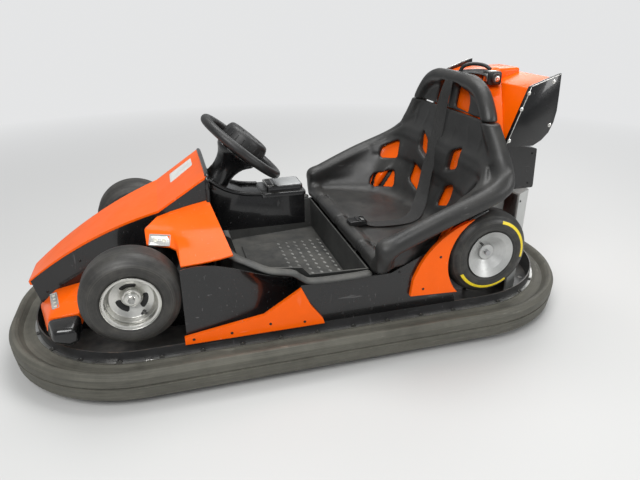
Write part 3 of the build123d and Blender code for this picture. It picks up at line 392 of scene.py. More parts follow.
class Shape:
    """Gathers the faces of one piece. Lengths are given in millimetres."""

    def __init__(self):
        self.verts = []
        self.faces = []

    def grid(self, rows, wrap=False, close_ends=False):
        """Quads between rows of points that are already in metres."""
        base = len(self.verts)
        width = len(rows[0])
        for row in rows:
            self.verts.extend(row)
        span = width if wrap else width - 1
        for i in range(len(rows) - 1):
            for j in range(span):
                a = base + i * width + j
                b = base + i * width + (j + 1) % width
                self.faces.append((a, b, b + width, a + width))
        if close_ends:
            self.faces.append(tuple(base + j for j in reversed(range(width))))
            self.faces.append(tuple(base + (len(rows) - 1) * width + j for j in range(width)))

    def shell(self, rows):
        """A closed shell round rows of points."""
        self.grid(rows, wrap=True, close_ends=True)

    def lathe(self, matrix, profile, steps=20, squash=(1, 1)):
        """A turned shape. Profile: radius and height, from the rim to the middle."""
        turns = [2 * math.pi * k / steps for k in range(steps)]
        self.shell([[matrix @ mm(radius * math.cos(turn) * squash[0], radius * math.sin(turn) * squash[1], height)
                     for turn in turns] for radius, height in profile])

    def slab(self, matrix, outline, low, high, bevel=0.6):
        """A flat plate with softened edges. Outline: points counter-clockwise in the matrix's X and Y."""
        middle = Vector((sum(p[0] for p in outline), sum(p[1] for p in outline))) / len(outline)
        levels = ((0, low), (0, high - bevel), (bevel * 0.3, high - bevel * 0.3), (bevel, high))
        self.shell([[matrix @ mm(p.x, p.y, height) for p in shrunk(outline, middle, inset)]
                    for inset, height in levels])

    def tube(self, points, radius, steps=10, squash=1.0):
        """A round or flattened bar along points in metres."""
        rows = []
        for i, point in enumerate(points):
            ahead = heading(points, i)
            side = ahead.cross(Vector(UP))
            if side.length < 1e-3:
                side = ahead.cross(Vector((0, 1, 0)))
            side.normalize()
            up = side.cross(ahead)
            end = 0.55 if i in (0, len(points) - 1) else 1.0
            row = []
            for k in range(steps):
                turn = 2 * math.pi * k / steps
                offset = side * math.cos(turn) + up * math.sin(turn) * squash
                row.append(point + offset * radius * end / 1000)
            rows.append(row)
        self.shell(rows)

    def done(self, name, material, body="chassis", sharp=32, slot=None):
        mesh = bpy.data.meshes.new(name)
        mesh.from_pydata([tuple(v) for v in self.verts], [], self.faces)
        tidy = bmesh.new()
        tidy.from_mesh(mesh)
        bmesh.ops.recalc_face_normals(tidy, faces=tidy.faces)
        tidy.to_mesh(mesh)
        tidy.free()
        return place_mesh(name, mesh, material, body, sharp)


def turned_piece(name, material, matrix, profile, steps, body="chassis", sharp=32):
    """A piece that is one turned shape."""
    shape = Shape()
    shape.lathe(matrix, profile, steps)
    return shape.done(name, material, body, sharp)


def place_mesh(name, mesh, material, body="chassis", sharp=32):
    """Give a mesh its material and its smooth shading, and ride it on a body."""
    mesh.materials.clear()
    mesh.materials.append(MATERIALS[material])
    for face in mesh.polygons:
        face.use_smooth = True
    mesh.set_sharp_from_angle(angle=math.radians(sharp))
    obj = new_object(name, mesh)
    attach(obj, body)
    return obj


TREES = {}


def cast(node, point, direction):
    """Where a line from a point (mm) meets a CAD node: place in metres and outward normal, or None for both."""
    if node not in TREES:
        TREES[node] = BVHTree.FromObject(NODES[node], bpy.context.evaluated_depsgraph_get())
    way = unit(direction)
    place, normal = TREES[node].ray_cast(Vector(point) / 1000, way)[:2]
    if place is not None and normal.dot(way) > 0:
        normal = -normal
    return place, normal


def along_side(node, spot, side, lift):
    """A place just outside a wheel's outer face, at a point of the side view (mm)."""
    place, normal = cast(node, (spot[0], -side * 460, spot[1]), (0, side, 0))
    return place + normal * lift / 1000


def smooth_path(points, steps=6):
    """A smooth line through points."""
    result = []
    for i in range(len(points) - 1):
        p0 = points[max(i - 1, 0)]
        p1 = points[i]
        p2 = points[i + 1]
        p3 = points[min(i + 2, len(points) - 1)]
        for k in range(steps):
            t = k / steps
            result.append(0.5 * ((2 * p1) + (p2 - p0) * t + (2 * p0 - 5 * p1 + 4 * p2 - p3) * t * t
                                 + (3 * p1 - 3 * p2 + p3 - p0) * t ** 3))
    result.append(points[-1])
    return result


BOLT = [(1.0, 0.0), (1.0, 0.25), (0.92, 0.5), (0.72, 0.66), (0.46, 0.72), (0.40, 0.42), (0.05, 0.42)]
DOME = [(1.0, 0.0), (0.97, 0.3), (0.82, 0.62), (0.55, 0.86), (0.25, 0.97), (0.04, 1.0)]


def scaled(profile, radius, height):
    return [(r * radius, h * height) for r, h in profile]


def bolts(name, places, radius, material, washer=True):
    """Socket-head bolts with washers. Places: point (mm) and outward direction."""
    shape = Shape()
    for point, out in places:
        matrix = aim(point, out)
        if washer:
            shape.lathe(matrix, [(radius * 1.55, -0.4), (radius * 1.55, 0.7), (radius * 1.35, 1.1), (0.3, 1.1)])
        shape.lathe(matrix @ Matrix.Translation(mm(0, 0, 1)), scaled(BOLT, radius, radius * 0.9))
    shape.done(name, material)


def ring_line(inset):
    """The bumper's outline in plan, moved inwards, as points (mm) with their outward normals."""
    half_length, half_width, front, rear = 935.0, 440.0, 396.0, 436.0
    corners = [
        (half_length - rear, -(half_width - rear), rear, -90), (half_length - rear, half_width - rear, rear, 0),
        (front - half_length, half_width - front, front, 90), (front - half_length, front - half_width, front, 180),
    ]
    points = []
    for x, y, radius, start in corners:
        for k in range(41):
            turn = math.radians(start + 90 * k / 40)
            out = Vector((math.cos(turn), math.sin(turn), 0))
            points.append((Vector((x, y, 0)) + out * (radius - inset), out))
    return points


def along_ring(inset, spacing, phase):
    """Points spaced evenly along the bumper's outline. The walk starts at the left side's rear end."""
    line = ring_line(inset)
    line.append(line[0])
    result = []
    run = 0.0
    target = phase
    for (p, n), (q, m) in zip(line, line[1:]):
        step = (q - p).length
        while target <= run + step and step > 0:
            share = (target - run) / step
            result.append((p.lerp(q, share), n.lerp(m, share).normalized()))
            target += spacing
        run += step
    return result


def smin(a, b, k):
    """The lesser of two fields, blended over k mm."""
    h = np.maximum(k - np.abs(a - b), 0) / k
    return np.minimum(a, b) - h * h * k * 0.25


def smax(a, b, k):
    """The greater of two fields, blended over k mm."""
    return -smin(-a, -b, k)


def bar_field(x, y, z, points, radius):
    """Distance to a round bar along a smooth line through points (mm)."""
    result = None
    if len(points) > 2:
        points = [tuple(p) for p in smooth_path([Vector(p) for p in points], 3)]
    for a, b in zip(points, points[1:]):
        ax, ay, az = a
        dx, dy, dz = b[0] - ax, b[1] - ay, b[2] - az
        run = np.clip(((x - ax) * dx + (y - ay) * dy + (z - az) * dz) / (dx * dx + dy * dy + dz * dz), 0, 1)
        gap = np.sqrt((x - ax - run * dx) ** 2 + (y - ay - run * dy) ** 2 + (z - az - run * dz) ** 2) - radius
        result = gap if result is None else np.minimum(result, gap)
    return result


def convex_field(u, v, corners, k):
    """Distance to a convex outline with rounded corners, given anticlockwise in u and v."""
    result = None
    for (u0, v0), (u1, v1) in zip(corners, corners[1:] + corners[:1]):
        length = math.hypot(u1 - u0, v1 - v0)
        side = ((u - u0) * (v1 - v0) - (v - v0) * (u1 - u0)) / length
        result = side if result is None else smax(result, side, k)
    return result


def surface_net(field, low, step):
    """Points and four-sided faces of the zero surface of a sampled field."""
    inside = field < 0
    nx, ny, nz = field.shape
    count = np.zeros((nx - 1, ny - 1, nz - 1), np.int8)
    for i, j, k in np.ndindex(2, 2, 2):
        count += inside[i:nx - 1 + i, j:ny - 1 + j, k:nz - 1 + k]
    cell = (count > 0) & (count < 8)
    where = np.argwhere(cell)
    index = np.full(cell.shape, -1, np.int64)
    index[cell] = np.arange(len(where))
    total = np.zeros((len(where), 3))
    hits = np.zeros(len(where))
    for axis in range(3):
        others = [i for i in range(3) if i != axis]
        for corner in np.ndindex(2, 2):
            start = np.zeros(3, np.int64)
            start[others] = corner
            p = where + start
            q = p.copy()
            q[:, axis] += 1
            fp = field[tuple(p.T)]
            fq = field[tuple(q.T)]
            cross = (fp < 0) != (fq < 0)
            point = np.repeat(start[None, :].astype(float), len(where), 0)
            point[:, axis] += np.where(cross, fp / np.where(cross, fp - fq, 1), 0)
            total += point * cross[:, None]
            hits += cross
    verts = (where + total / hits[:, None]) * step + np.array(low)
    faces = []
    for axis in range(3):
        o1, o2 = ((1, 2), (2, 0), (0, 1))[axis]
        near = tuple(slice(0, -1) if i == axis else slice(1, -1) for i in range(3))
        far = tuple(slice(1, None) if i == axis else slice(1, -1) for i in range(3))
        change = np.argwhere(inside[near] != inside[far])
        sign = inside[near][tuple(change.T)]
        for i in range(3):
            if i != axis:
                change[:, i] += 1
        ring = []
        for d1, d2 in ((0, 0), (1, 0), (1, 1), (0, 1)):
            c = change.copy()
            c[:, o1] -= d1
            c[:, o2] -= d2
            ring.append(index[tuple(c.T)])
        quads = np.stack(ring, 1)
        quads[~sign] = quads[~sign][:, ::-1]
        faces.append(quads)
    return verts / 1000, np.concatenate(faces)


def moulded(name, field_of, low, high, step, material, node=None):
    """A piece from a distance field that is the same on both sides of the car. Low and high: its box (mm)."""
    xs = np.arange(low[0], high[0], step)[:, None, None]
    ys = np.arange(0, high[1], step)[None, :, None]
    zs = np.arange(low[2], high[2], step)[None, None, :]
    half = field_of(xs, ys, zs)
    field = np.concatenate([half[:, :0:-1], half], axis=1)
    verts, faces = surface_net(field, (low[0], -ys[0, -1, 0], low[2]), step)
    mesh = bpy.data.meshes.new(name)
    mesh.from_pydata(verts.tolist(), [], faces.tolist())
    mesh.materials.append(MATERIALS[material])
    mesh.polygons.foreach_set("use_smooth", [True] * len(mesh.polygons))
    obj = new_object(name, mesh)
    relax = obj.modifiers.new("relax", "SMOOTH")
    relax.factor = 0.5
    relax.iterations = 3
    ready = bpy.data.meshes.new_from_object(obj.evaluated_get(bpy.context.evaluated_depsgraph_get()))
    obj.modifiers.clear()
    obj.data = ready
    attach(obj, "chassis")
    if node:
        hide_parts(node)


# Inside of the seat's bucket in plan at three heights. Columns: height, half-width at the front,
# x and y where the wing ends, x and y where the back starts, x in the middle.
SEAT_PLAN = np.array([
    (300, 362, 318, 312, 402, 232, 448),
    (400, 364, 362, 346, 446, 262, 485),
    (505, 368, 436, 362, 500, 306, 504),
], float)
SEAT_FRONT = 125.0
SEAT_LEAN = math.tan(math.radians(7))
SEAT_WALL = 13.0
# Middle of the fat roll, from its snout along the wing and up the back
BOLSTER = [(148, 385, 350), (240, 386, 392), (340, 387, 434), (430, 386, 466), (482, 383, 486), (510, 374, 502),
           (523, 359, 522), (529, 336, 548), (530, 308, 580), (530, 280, 613), (529, 250, 648), (530, 228, 682)]
# Lines of the moulded creases on the back
CREASES = [((512, 231, 540), (500, 180, 492), (494, 104, 446)), ((470, 196, 402), (458, 100, 324)),
           ((520, 138, 626), (511, 166, 560), (497, 200, 484)), ((522, 214, 640), (512, 226, 590), (506, 214, 519)),
           ((516, 60, 610), (505, 58, 520), (494, 52, 450)), ((484, 58, 400), (466, 60, 340))]


def seat_x(z):
    """How far back the leaning back's front lies at a height."""
    return 504 + (z - 505) * SEAT_LEAN


def bucket_distance(x, y, z):
    """How far outside the bucket's inner surface a point lies."""
    front, x1, y1, x2, y2, middle = [np.interp(z, SEAT_PLAN[:, 0], SEAT_PLAN[:, i]) for i in range(1, 7)]
    straight = 130
    slope = (y1 - front) / (x1 - SEAT_FRONT)
    side = y - front - slope * (x - SEAT_FRONT)
    reach = np.hypot(x2 - x1, y2 - y1)
    corner = ((x - x1) * (y1 - y2) + (y - y1) * (x2 - x1)) / reach
    turn = np.hypot(middle - x2, straight - y2)
    bend = ((x - x2) * (y2 - straight) + (y - y2) * (middle - x2)) / turn
    back = x - np.where(z > 505, seat_x(z), middle)
    return smax(smax(side, corner, 60.0), smax(bend, back, 50.0), 50.0)


def opening_fields(x, y, z):
    """The openings through the back and through the corners of the seat."""
    holes = None
    for y_in, y_out, z_low, z_high in ((72, 142, 468, 562), (74, 152, 346, 440)):
        outline = [(y_in, z_low), (y_out, z_low + 26), (y_out, z_high), (y_in + 10, z_high - 26)]
        hole = smax(convex_field(y, z, outline, 16.0), 440 - x, 4.0)
        holes = hole if holes is None else np.minimum(holes, hole)
    along = 0.724 * x - 0.690 * y
    outward = 0.690 * x + 0.724 * y
    for outline in ([(76, 419), (153, 428), (147, 494), (74, 459)], [(59, 315), (164, 327), (154, 385), (60, 357)]):
        hole = smax(convex_field(along, z, outline, 16.0), 440 - outward, 4.0)
        holes = np.minimum(holes, hole)
    return holes


def tyre_gap(x, y, z):
    """How far outside the rear tyre a point lies."""
    tread = np.sqrt((x - REAR_AXLE[0]) ** 2 + (z - REAR_AXLE[1]) ** 2) - TYRE_RADIUS
    return smax(tread, smax(TYRE_INSIDE - y, y - REAR_FACE, 4.0), 4.0)


def wing_top(x):
    return 366 + 0.40 * (x - 146)


def seat_top(x):
    """Height of the bucket's upper edge, which climbs from the wings to the back."""
    return wing_top(x) + 0.85 * np.clip(x - 440, 0, 400)


def seat_field(x, y, z):
    d = bucket_distance(x, y, z)
    # A shallow channel along the wing, from the bolt to the lower corner opening
    lower = bar_field(x, y, z, [(206, 356, 334), (250, 353, 336), (300, 349, 338)], 0.0)
    recess = 4.0 * np.exp(-(lower / 15.0) ** 2)
    shell = smax(recess - d, d - SEAT_WALL, 3.0)
    walls = smax(smax(shell, z - seat_top(x), 6.0), SEAT_FRONT + 8 - x, 6.0)
    walls = smax(walls, 288 - z, 4.0)
    pan = smax(smax(np.abs(z - 294) - 6, d - SEAT_WALL, 4.0), SEAT_FRONT + 10 - x, 4.0)
    seat = smin(walls, pan, 34.0)
    # Upper back, leaning, up to the joint under the headrest
    half_width = 385 - np.clip(z - 490, 0, 400) * 0.843
    back = smax(np.abs(x - seat_x(z) - 6) - 6, (y - half_width + 6) * 0.76, 8.0)
    back = smax(back, 500 - z, 8.0)
    seat = smin(seat, back, 22.0)
    # Fat elbow that joins the wing's corner to the outer roll
    top = wing_top(x) + 0.2 * np.clip(x - 400, 0, 300)
    elbow = smax(smax(z - top, 446 - z, 6.0), smax(y - 382, 392 - x, 8.0), 8.0)
    elbow = smax(elbow, smax(x - 530, 2 - d, 6.0), 8.0)
    seat = smin(seat, elbow, 22.0)
    # Fat rolls along the edges, with blunt snouts that turn down at the front
    roll = bar_field(x, y, z, BOLSTER, 27.0)
    snout = bar_field(x, y, z, [(150, 384, 350), (147, 380, 322), (146, 368, 300)], 24.0)
    roll = smin(roll, snout, 22.0)
    seat = smin(seat, roll, 20.0)
    nose = np.sqrt((x - 143) ** 2 + (z - 287) ** 2)
    seat = smin(seat, smax(nose - 23, y - 356, 10.0), 20.0)
    # Flat lower lip outside the rolls
    lip = smax(np.abs(z - wing_top(x) + 30) - 3.5, smax(y - 405, 382 - y, 3.0), 3.0)
    lip = smax(lip, smax(170 - x, x - 500, 6.0), 6.0)
    seat = smin(seat, lip, 8.0)
    for path in CREASES:
        crease = bar_field(x, y, z, [(px + 2, py, pz) for px, py, pz in path], 4.0)
        seat = smin(seat, crease, 7.0)
    # Grooves of the front edge in three groups
    for middle in (-2, 232):
        for k in (-14, 0, 14):
            groove = np.sqrt((nose - 25) ** 2 + (y - middle - k) ** 2) - 5.5
            seat = smax(seat, -groove, 4.0)
    # A wide hollow in the pan
    dish = np.sqrt((x - 290) ** 2 + np.maximum(y - 90, 0) ** 2 + (z - 660) ** 2) - 363
    dish = smax(dish, z - 310, 6.0)
    seat = smax(seat, -dish, 10.0)
    # The wall bulges inwards over the rear tyre
    tyre = tyre_gap(x, y, z)
    arch = smax(np.abs(tyre - 7) - 4, smax(d - SEAT_WALL, 300 - z, 4.0), 4.0)
    seat = smin(seat, arch, 12.0)
    seat = smax(seat, -opening_fields(x, y, z), 9.0)
    seat = smax(seat, z - 661.5, 3.0)
    return smax(seat, 3.0 - tyre, 4.0)


def headrest_field(x, y, z):
    """The headrest: a hoop round two openings with a bar between them."""
    half_width = np.interp(z, [640, 662, 716, 770, 790], [243, 240, 194, 120, 108])
    plate = smax(np.abs(x - seat_x(z) - 8) - 6, (y - half_width + 8) * 0.8, 8.0)
    plate = smax(plate, z - 772, 8.0)
    base = seat_x(716)
    path = [(base - 2, 236, 640), (base - 1, 232, 668), (base + 1, 205, 706), (base + 3, 170, 738),
            (base + 4, 124, 756), (base + 5, 70, 760), (base + 5, 0, 761)]
    head = smin(plate, bar_field(x, y, z, path, 25.0), 18.0)
    middle = bar_field(x, y, z, [(base + 3, 0, 650), (base + 7, 0, 745)], 11.0)
    head = smin(head, smax(middle, x - base - 12, 4.0), 16.0)
    outline = [(22, 674), (112, 668), (106, 716), (66, 750), (22, 752)]
    hole = smax(convex_field(y, z, outline, 14.0), 440 - x, 4.0)
    head = smax(head, -hole, 8.0)
    return smax(head, 664.0 - z, 4.0)


def backing_field(x, y, z):
    """The orange shell behind the seat, seen through its openings."""
    d = bucket_distance(x, y, z)
    shell = smax(np.abs(d - 20) - 5, smax(z - seat_top(x) + 24, 345 - x, 4.0), 4.0)
    shell = smax(shell, 306 - z, 4.0)
    upper = smax(np.abs(x - seat_x(z) - 24) - 5, y - 150, 4.0)
    upper = smax(upper, smax(z - 762, 440 - z, 4.0), 4.0)
    both = smin(shell, upper, 10.0)
    tyre = tyre_gap(x, y, z)
    liner = smax(np.abs(tyre - 5.5) - 3, smax(d - 12, 306 - z, 4.0), 4.0)
    return smin(smax(both, 9.0 - tyre, 4.0), liner, 4.0)


def seat_pieces():
    step = 4.4
    moulded("seat_moulding", seat_field, (108, 0, 262), (572, 424, 676), step, "seat_plastic", "seat_shell")
    moulded("headrest_moulding", headrest_field, (480, 0, 652), (580, 276, 800), step * 0.8, "seat_plastic",
            "headrest")
    moulded("seat_backing", backing_field, (330, 0, 296), (590, 400, 776), 5.0, "orange_paint")
    bolts("seat_wing_bolts", [((206, side * 360, 334), (0, -side, 0.1)) for side in (1, -1)], 8.5, "screw_black")


def tread_bumps():
    """Slanting raised bumps on the footwell's plate, in even rows, coloured pale as painted highlight."""
    shape = Shape()
    for i in range(6):
        for k in range(-5, 5):
            matrix = aim((98 - 30.7 * i, 20 + 32.7 * k, 163.8), UP) @ Matrix.Rotation(math.radians(-62), 4, "Z")
            shape.lathe(matrix, scaled(DOME, 3.8, 2.8), 14, (2.1, 1.0))
    shape.done("tread_bumps", "tread_bump")


def ring_fittings():
    """Clips and bright joint plates along the strip on the bumper's inner edge."""
    clips = Shape()
    screws = []
    for point, out in along_ring(78.5, 111.5, 66):
        matrix = aim((point.x, point.y, 100.2), UP, (-out.y, out.x, 0))
        clips.slab(matrix, [(-7, -6), (7, -6), (7, 5.5), (-7, 5.5)], -0.3, 3.0, 1.0)
        screws.append((tuple(point - out * 1.5 + Vector((0, 0, 103))), UP))
    clips.done("strip_clips", "clip_plastic")
    bolts("strip_screws", screws, 2.3, "bolt_steel", washer=False)
    plates = Shape()
    for x, length in ((-645, 66), (-526, 22), (640, 50)):
        for point, out in along_ring(76, 3.0, 0):
            if abs(point.x - x) < 1.6 and point.y < 0:
                matrix = aim((point.x, point.y, 100.3), UP, (-out.y, out.x, 0))
                half = length / 2
                plates.slab(matrix, [(-half, -4.5), (half, -4.5), (half, 4.5), (-half, 4.5)], -0.2, 1.5, 0.6)
                break
    plates.done("strip_joint_plates", "bright_steel", slot="strip_metal")


def rounded_box(length, width, radius):
    """Outline of a rectangle with rounded corners."""
    points = []
    for sx, sy, start in ((1, 1, 0), (-1, 1, 90), (-1, -1, 180), (1, -1, 270)):
        for k in range(6):
            turn = math.radians(start + 18 * k)
            points.append((sx * (length / 2 - radius) + radius * math.cos(turn),
                           sy * (width / 2 - radius) + radius * math.sin(turn)))
    return points


def frame_strip(shape, matrix, length, width, wall, low, high):
    """A raised rectangular frame."""
    rows = []
    for inset, height in ((0, low), (0, high - 0.4), (0.4, high), (wall - 0.4, high), (wall, high - 0.4), (wall, low)):
        outline = rounded_box(length - 2 * inset, width - 2 * inset, max(3 - inset, 0.8))
        rows.append([matrix @ mm(x, y, height) for x, y in outline])
    shape.grid(rows, wrap=True)


# Screws and bolts on panels: node, then x and z in the side view
SCREWS = [
    ("side_panels", ((-60, 150), (30, 150), (120, 150), (205, 150), (205, 262))),
    ("side_flashes", ((-404, 148), (-300, 150), (-190, 160), (-90, 150))),
    ("side_scoops", ((280, 200), (330, 300), (395, 370))),
    ("nose_body", ((-810, 200), (-700, 300), (-580, 340), (-640, 190), (-420, 200))),
    ("rear_panels", ((620, 560), (720, 545), (620, 445), (720, 445))),
    ("rear_body", ((670, 150), (670, 300), (670, 400))),
]


def body_screws():
    """Small screws where a panel lies in their way, and bolts in pan and underframe."""
    lines = [(node, (x, -520 * side, z), (0, side, 0)) for side in (1, -1) for node, spots in SCREWS for x, z in spots]
    lines += [("rear_body", (1000, y, z), (-1, 0, 0)) for y in (-90, 0, 90) for z in (150, 400)]
    met = [cast(*line) for line in lines]
    small = [(tuple(place * 1000), tuple(normal)) for place, normal in met if place is not None]
    bolts("panel_screws", small, 2.6, "screw_black")
    pan = [(point - out * 22) + Vector((0, 0, 66)) for point, out in along_ring(86, 160, 40)]
    bolts("pan_bolts", [(tuple(p), UP) for p in pan if free_floor(p)], 5.0, "bolt_steel")
    under = [((x, y, 36), (0, 0, -1)) for x in (-220, 80, 380, 680) for y in ((-230, 230) if x < 600 else (-180, 180))]
    bolts("underframe_bolts", under, 6.0, "bolt_steel")


def free_floor(point):
    """Whether the pan's floor is bare there, seen from above."""
    for node in ("rear_body", "nose_body"):
        low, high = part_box(node)
        if low.x - 0.02 < point.x / 1000 < high.x + 0.02 and abs(point.y / 1000) < high.y + 0.02:
            return False
    return abs(point.y) < 300


def facing(spot, depth, side):
    """A frame that faces outwards at a point of the side view (mm), some way out from the car's middle."""
    return aim((spot[0], -side * depth, spot[1]), (0, -side, 0))


def wheel_details():
    """Hub nuts, lug bolts and valves, which turn with each show wheel."""
    housing = FRONT_FACE - 46
    lugs = housing + 12.4
    for hand, side in HANDS:
        body = f"front_wheel_{hand}"
        bright = Shape()
        for angle in (40, 160, 280):
            bright.lathe(facing(polar(FRONT_AXLE, 21, angle), lugs, side),
                         [(4.3, -0.5), (4.3, 2.6), (3.7, 3.4), (2.3, 3.4), (2.2, 1.2), (0.2, 1.2)], 16)
        bright.lathe(facing(FRONT_AXLE, lugs + 9, side), [(12, -0.4), (12, 1.2), (11.2, 1.8), (8.8, 1.8)], 24)
        bright.done(f"front_lugs_{hand}", "bright_steel", body)
        turned_piece(f"front_hub_nut_{hand}", "bolt_steel", facing(FRONT_AXLE, lugs + 10, side),
                     [(9.5, 0), (9.5, 5.6), (8.4, 6.8), (5.4, 6.8), (5.2, 5.6), (0.2, 5.8)], 6, body, 20)
        turned_piece(f"front_hub_housing_{hand}", "rim_aluminium", facing(FRONT_AXLE, housing, side),
                     [(25, -1), (25, 10), (23.4, 12), (20, 12.4), (19, 20), (17.6, 21), (12, 21.4), (0.3, 21.4)],
                     40, body)
        valve(f"front_valve_{hand}", body, FRONT_AXLE, (50, -58), FRONT_FACE - 30, side)
        body = f"rear_wheel_{hand}"
        turned_piece(f"rear_hub_cap_{hand}", "rim_grey", facing(REAR_AXLE, REAR_FACE - 34, side),
                     [(17.6, -0.4), (17.6, 2.6), (15.5, 4.4), (12.5, 4.8), (11.5, 3.4), (0.3, 3.6)], 28, body)
        valve(f"rear_valve_{hand}", body, REAR_AXLE, (56, 130), REAR_FACE - 22, side)


def valve(name, body, centre, spot, depth, side):
    """A tyre valve that leans inwards. Spot: its radius and angle on the wheel."""
    x, z = polar(centre, *spot)
    across, up = polar((0, 0), -0.35, spot[1])
    turned_piece(name, "valve_rubber", aim((x, -side * depth, z), (across, -side, up)),
                 [(5.2, -5), (5.2, 1), (3.8, 4), (3.4, 12), (4.0, 12.6), (4.0, 19), (3.2, 20.4), (0.3, 20.6)],
                 14, body)


# The belt: x, y, z of the strap's middle, then the direction across it
STRAP = [
    (176, -68, 320, 0, 1, 0), (192, -70, 315, 0, 1, 0), (214, -76, 306, 0, 1, 0), (250, -83, 303, 0.05, 1, 0),
    (305, -85, 302.4, 0.1, 1, 0), (350, -80, 303.5, -0.25, 1, 0.05), (390, -56, 307, -0.6, 0.8, 0.15),
    (424, -18, 319, -0.75, 0.6, 0.3), (447, 8, 348, -0.7, 0.7, 0.2), (462, 22, 398, -0.55, 0.85, 0),
    (472, 26, 450, -0.5, 0.85, 0), (486, 20, 520, -0.5, 0.85, 0), (497, 24, 580, -0.45, 0.9, 0),
    (505, 28, 640, -0.4, 0.9, 0), (509, 18, 700, -0.25, 0.97, 0), (510, 2, 740, -0.1, 1, 0),
    (513.5, -6, 764, 0, 1, 0), (524, -10, 780, 0, 1, 0), (540, -15, 784.5, 0.1, 1, 0),
    (560, -30, 787.5, 0.4, 0.9, 0.1), (581, -58, 789, 0.7, 0.6, 0.2), (597, -84, 787, 0.8, 0.4, 0.2),
    (607, -100, 779, 0.9, 0.3, 0.1),
]


def belt():
    """The webbing, as a flat strap with woven edges, from the buckle round the headrest into its reel."""
    centres = smooth_path([mm(*row[:3]) for row in STRAP], 6)
    widths = smooth_path([Vector(row[3:]) for row in STRAP], 6)
    shape = Shape()
    rows = []
    for i, (centre, across) in enumerate(zip(centres, widths)):
        ahead = heading(centres, i)
        across = (across - ahead * across.dot(ahead)).normalized()
        up = ahead.cross(across)
        bow = 0.6 * math.sin(i * 0.37) + 0.3 * math.sin(i * 0.9)
        row = []
        for u, h in ((-23, 0), (-22, 0.9), (-20, 0.75), (-8, 0.85), (8, 0.85), (20, 0.75), (22, 0.9), (23, 0),
                     (22, -0.9), (20, -0.75), (8, -0.85), (-8, -0.85), (-20, -0.75), (-22, -0.9)):
            lift = bow * (1 - (u / 23) ** 2)
            row.append(centre + across * u / 1000 + up * (h + lift) / 1000)
        rows.append(row)
    shape.shell(rows)
    piece = shape.done("belt_webbing", "webbing", sharp=70)
    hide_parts("seat_belt")
    stitch = Shape()
    for row in range(8, 15):
        for u in (-17, 17):
            centre = centres[row]
            ahead = heading(centres, row)
            across = widths[row].normalized()
            up = ahead.cross(across).normalized()
            stitch.tube([centre + (across * u + ahead * run) / 1000 + up * 0.0011 for run in (-1.6, 1.6)], 0.5, 6)
    stitch.done("belt_stitches", "stitch_thread")


def label_plate():
    """A thin blank plate that follows the nose's top."""
    a, b, c, d = [Vector(p) for p in ((-418, 108, 700), (-346, 113, 700), (-346, 30, 700), (-418, 12, 700))]
    corner, lift, steps = 0.06, 0.8, 8
    outline = []
    for cx, cy, start in ((1, 1, 0), (0, 1, 90), (0, 0, 180), (1, 0, 270)):
        for k in range(steps + 1):
            u, v = polar((cx + (1 - 2 * cx) * corner, cy + (1 - 2 * cy) * corner), corner, start + 90 * k / steps)
            outline.append((u, v))
    rings = []
    for share, height in ((1.0, -0.4), (1.0, lift * 0.6), (0.985, lift), (0.75, lift), (0.45, lift), (0.15, lift)):
        row = []
        for u, v in outline:
            u = 0.5 + (u - 0.5) * share
            v = 0.5 + (v - 0.5) * share
            place, normal = cast("nose_top", a.lerp(b, u).lerp(d.lerp(c, u), v), (0, 0, -1))
            row.append(place + normal * height / 1000)
        rings.append(row)
    shape = Shape()
    shape.shell(rings)
    shape.done("nose_label_plate", "label_white", sharp=50)


def buckle_forms():
    """The belt's buckle: a ribbed body with a bar, a frame and a metal tongue."""
    shape = Shape()
    base = aim((172, -72, 307), UP)
    shape.slab(base, rounded_box(62, 42, 7), 0, 17.0, 4.0)
    top = base @ Matrix.Translation(mm(0, 0, 17))
    for k in range(5):
        low, high = -25 + 4.6 * k, -22.6 + 4.6 * k
        shape.slab(top, [(low, -14), (high, -14), (high, 14), (low, 14)], -0.3, 1.5, 0.5)
    shape.slab(top, rounded_box(8, 36, 2), -0.3, 4.0, 1.2)
    frame_strip(shape, top @ Matrix.Translation(mm(19, 0, 0)), 18, 38, 3, -0.3, 3.0)
    piece = shape.done("buckle_body", "buckle_plastic", sharp=40)
    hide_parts("belt_buckle")
    metal = Shape()
    metal.slab(top @ Matrix.Translation(mm(19, 0, 0)), rounded_box(9, 28, 1.5), -0.2, 1.0, 0.3)
    metal.done("buckle_tongue", "bright_steel")


def retractor_forms():
    """The belt's reel with its turned cap and bright plates."""
    shape = Shape()
    shape.slab(aim((610, -78, 772), (0, -1, 0)), rounded_box(48, 42, 9), 0, 38.0, 3.0)
    shape.lathe(aim((610, -116, 772), (0, -1, 0)), [(17, -0.5), (17, 8), (15.5, 10), (0.3, 10)], 28)
    piece = shape.done("belt_reel", "buckle_plastic", sharp=40)
    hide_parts("belt_retractor")
    bright = Shape()
    bright.lathe(aim((610, -126, 772), (0, -1, 0)), [(9, -0.3), (9, 1.4), (7.6, 2.2), (4.2, 2.2), (4, 1), (0.2, 1)], 22)
    bright.slab(aim((586, -98, 774), (-1, 0, 0)), rounded_box(22, 24, 3), -0.4, 1.4, 0.5)
    bright.slab(aim((604, -98, 793), UP), rounded_box(30, 16, 3), -0.4, 1.6, 0.5)
    bright.done("reel_plates", "bright_steel")


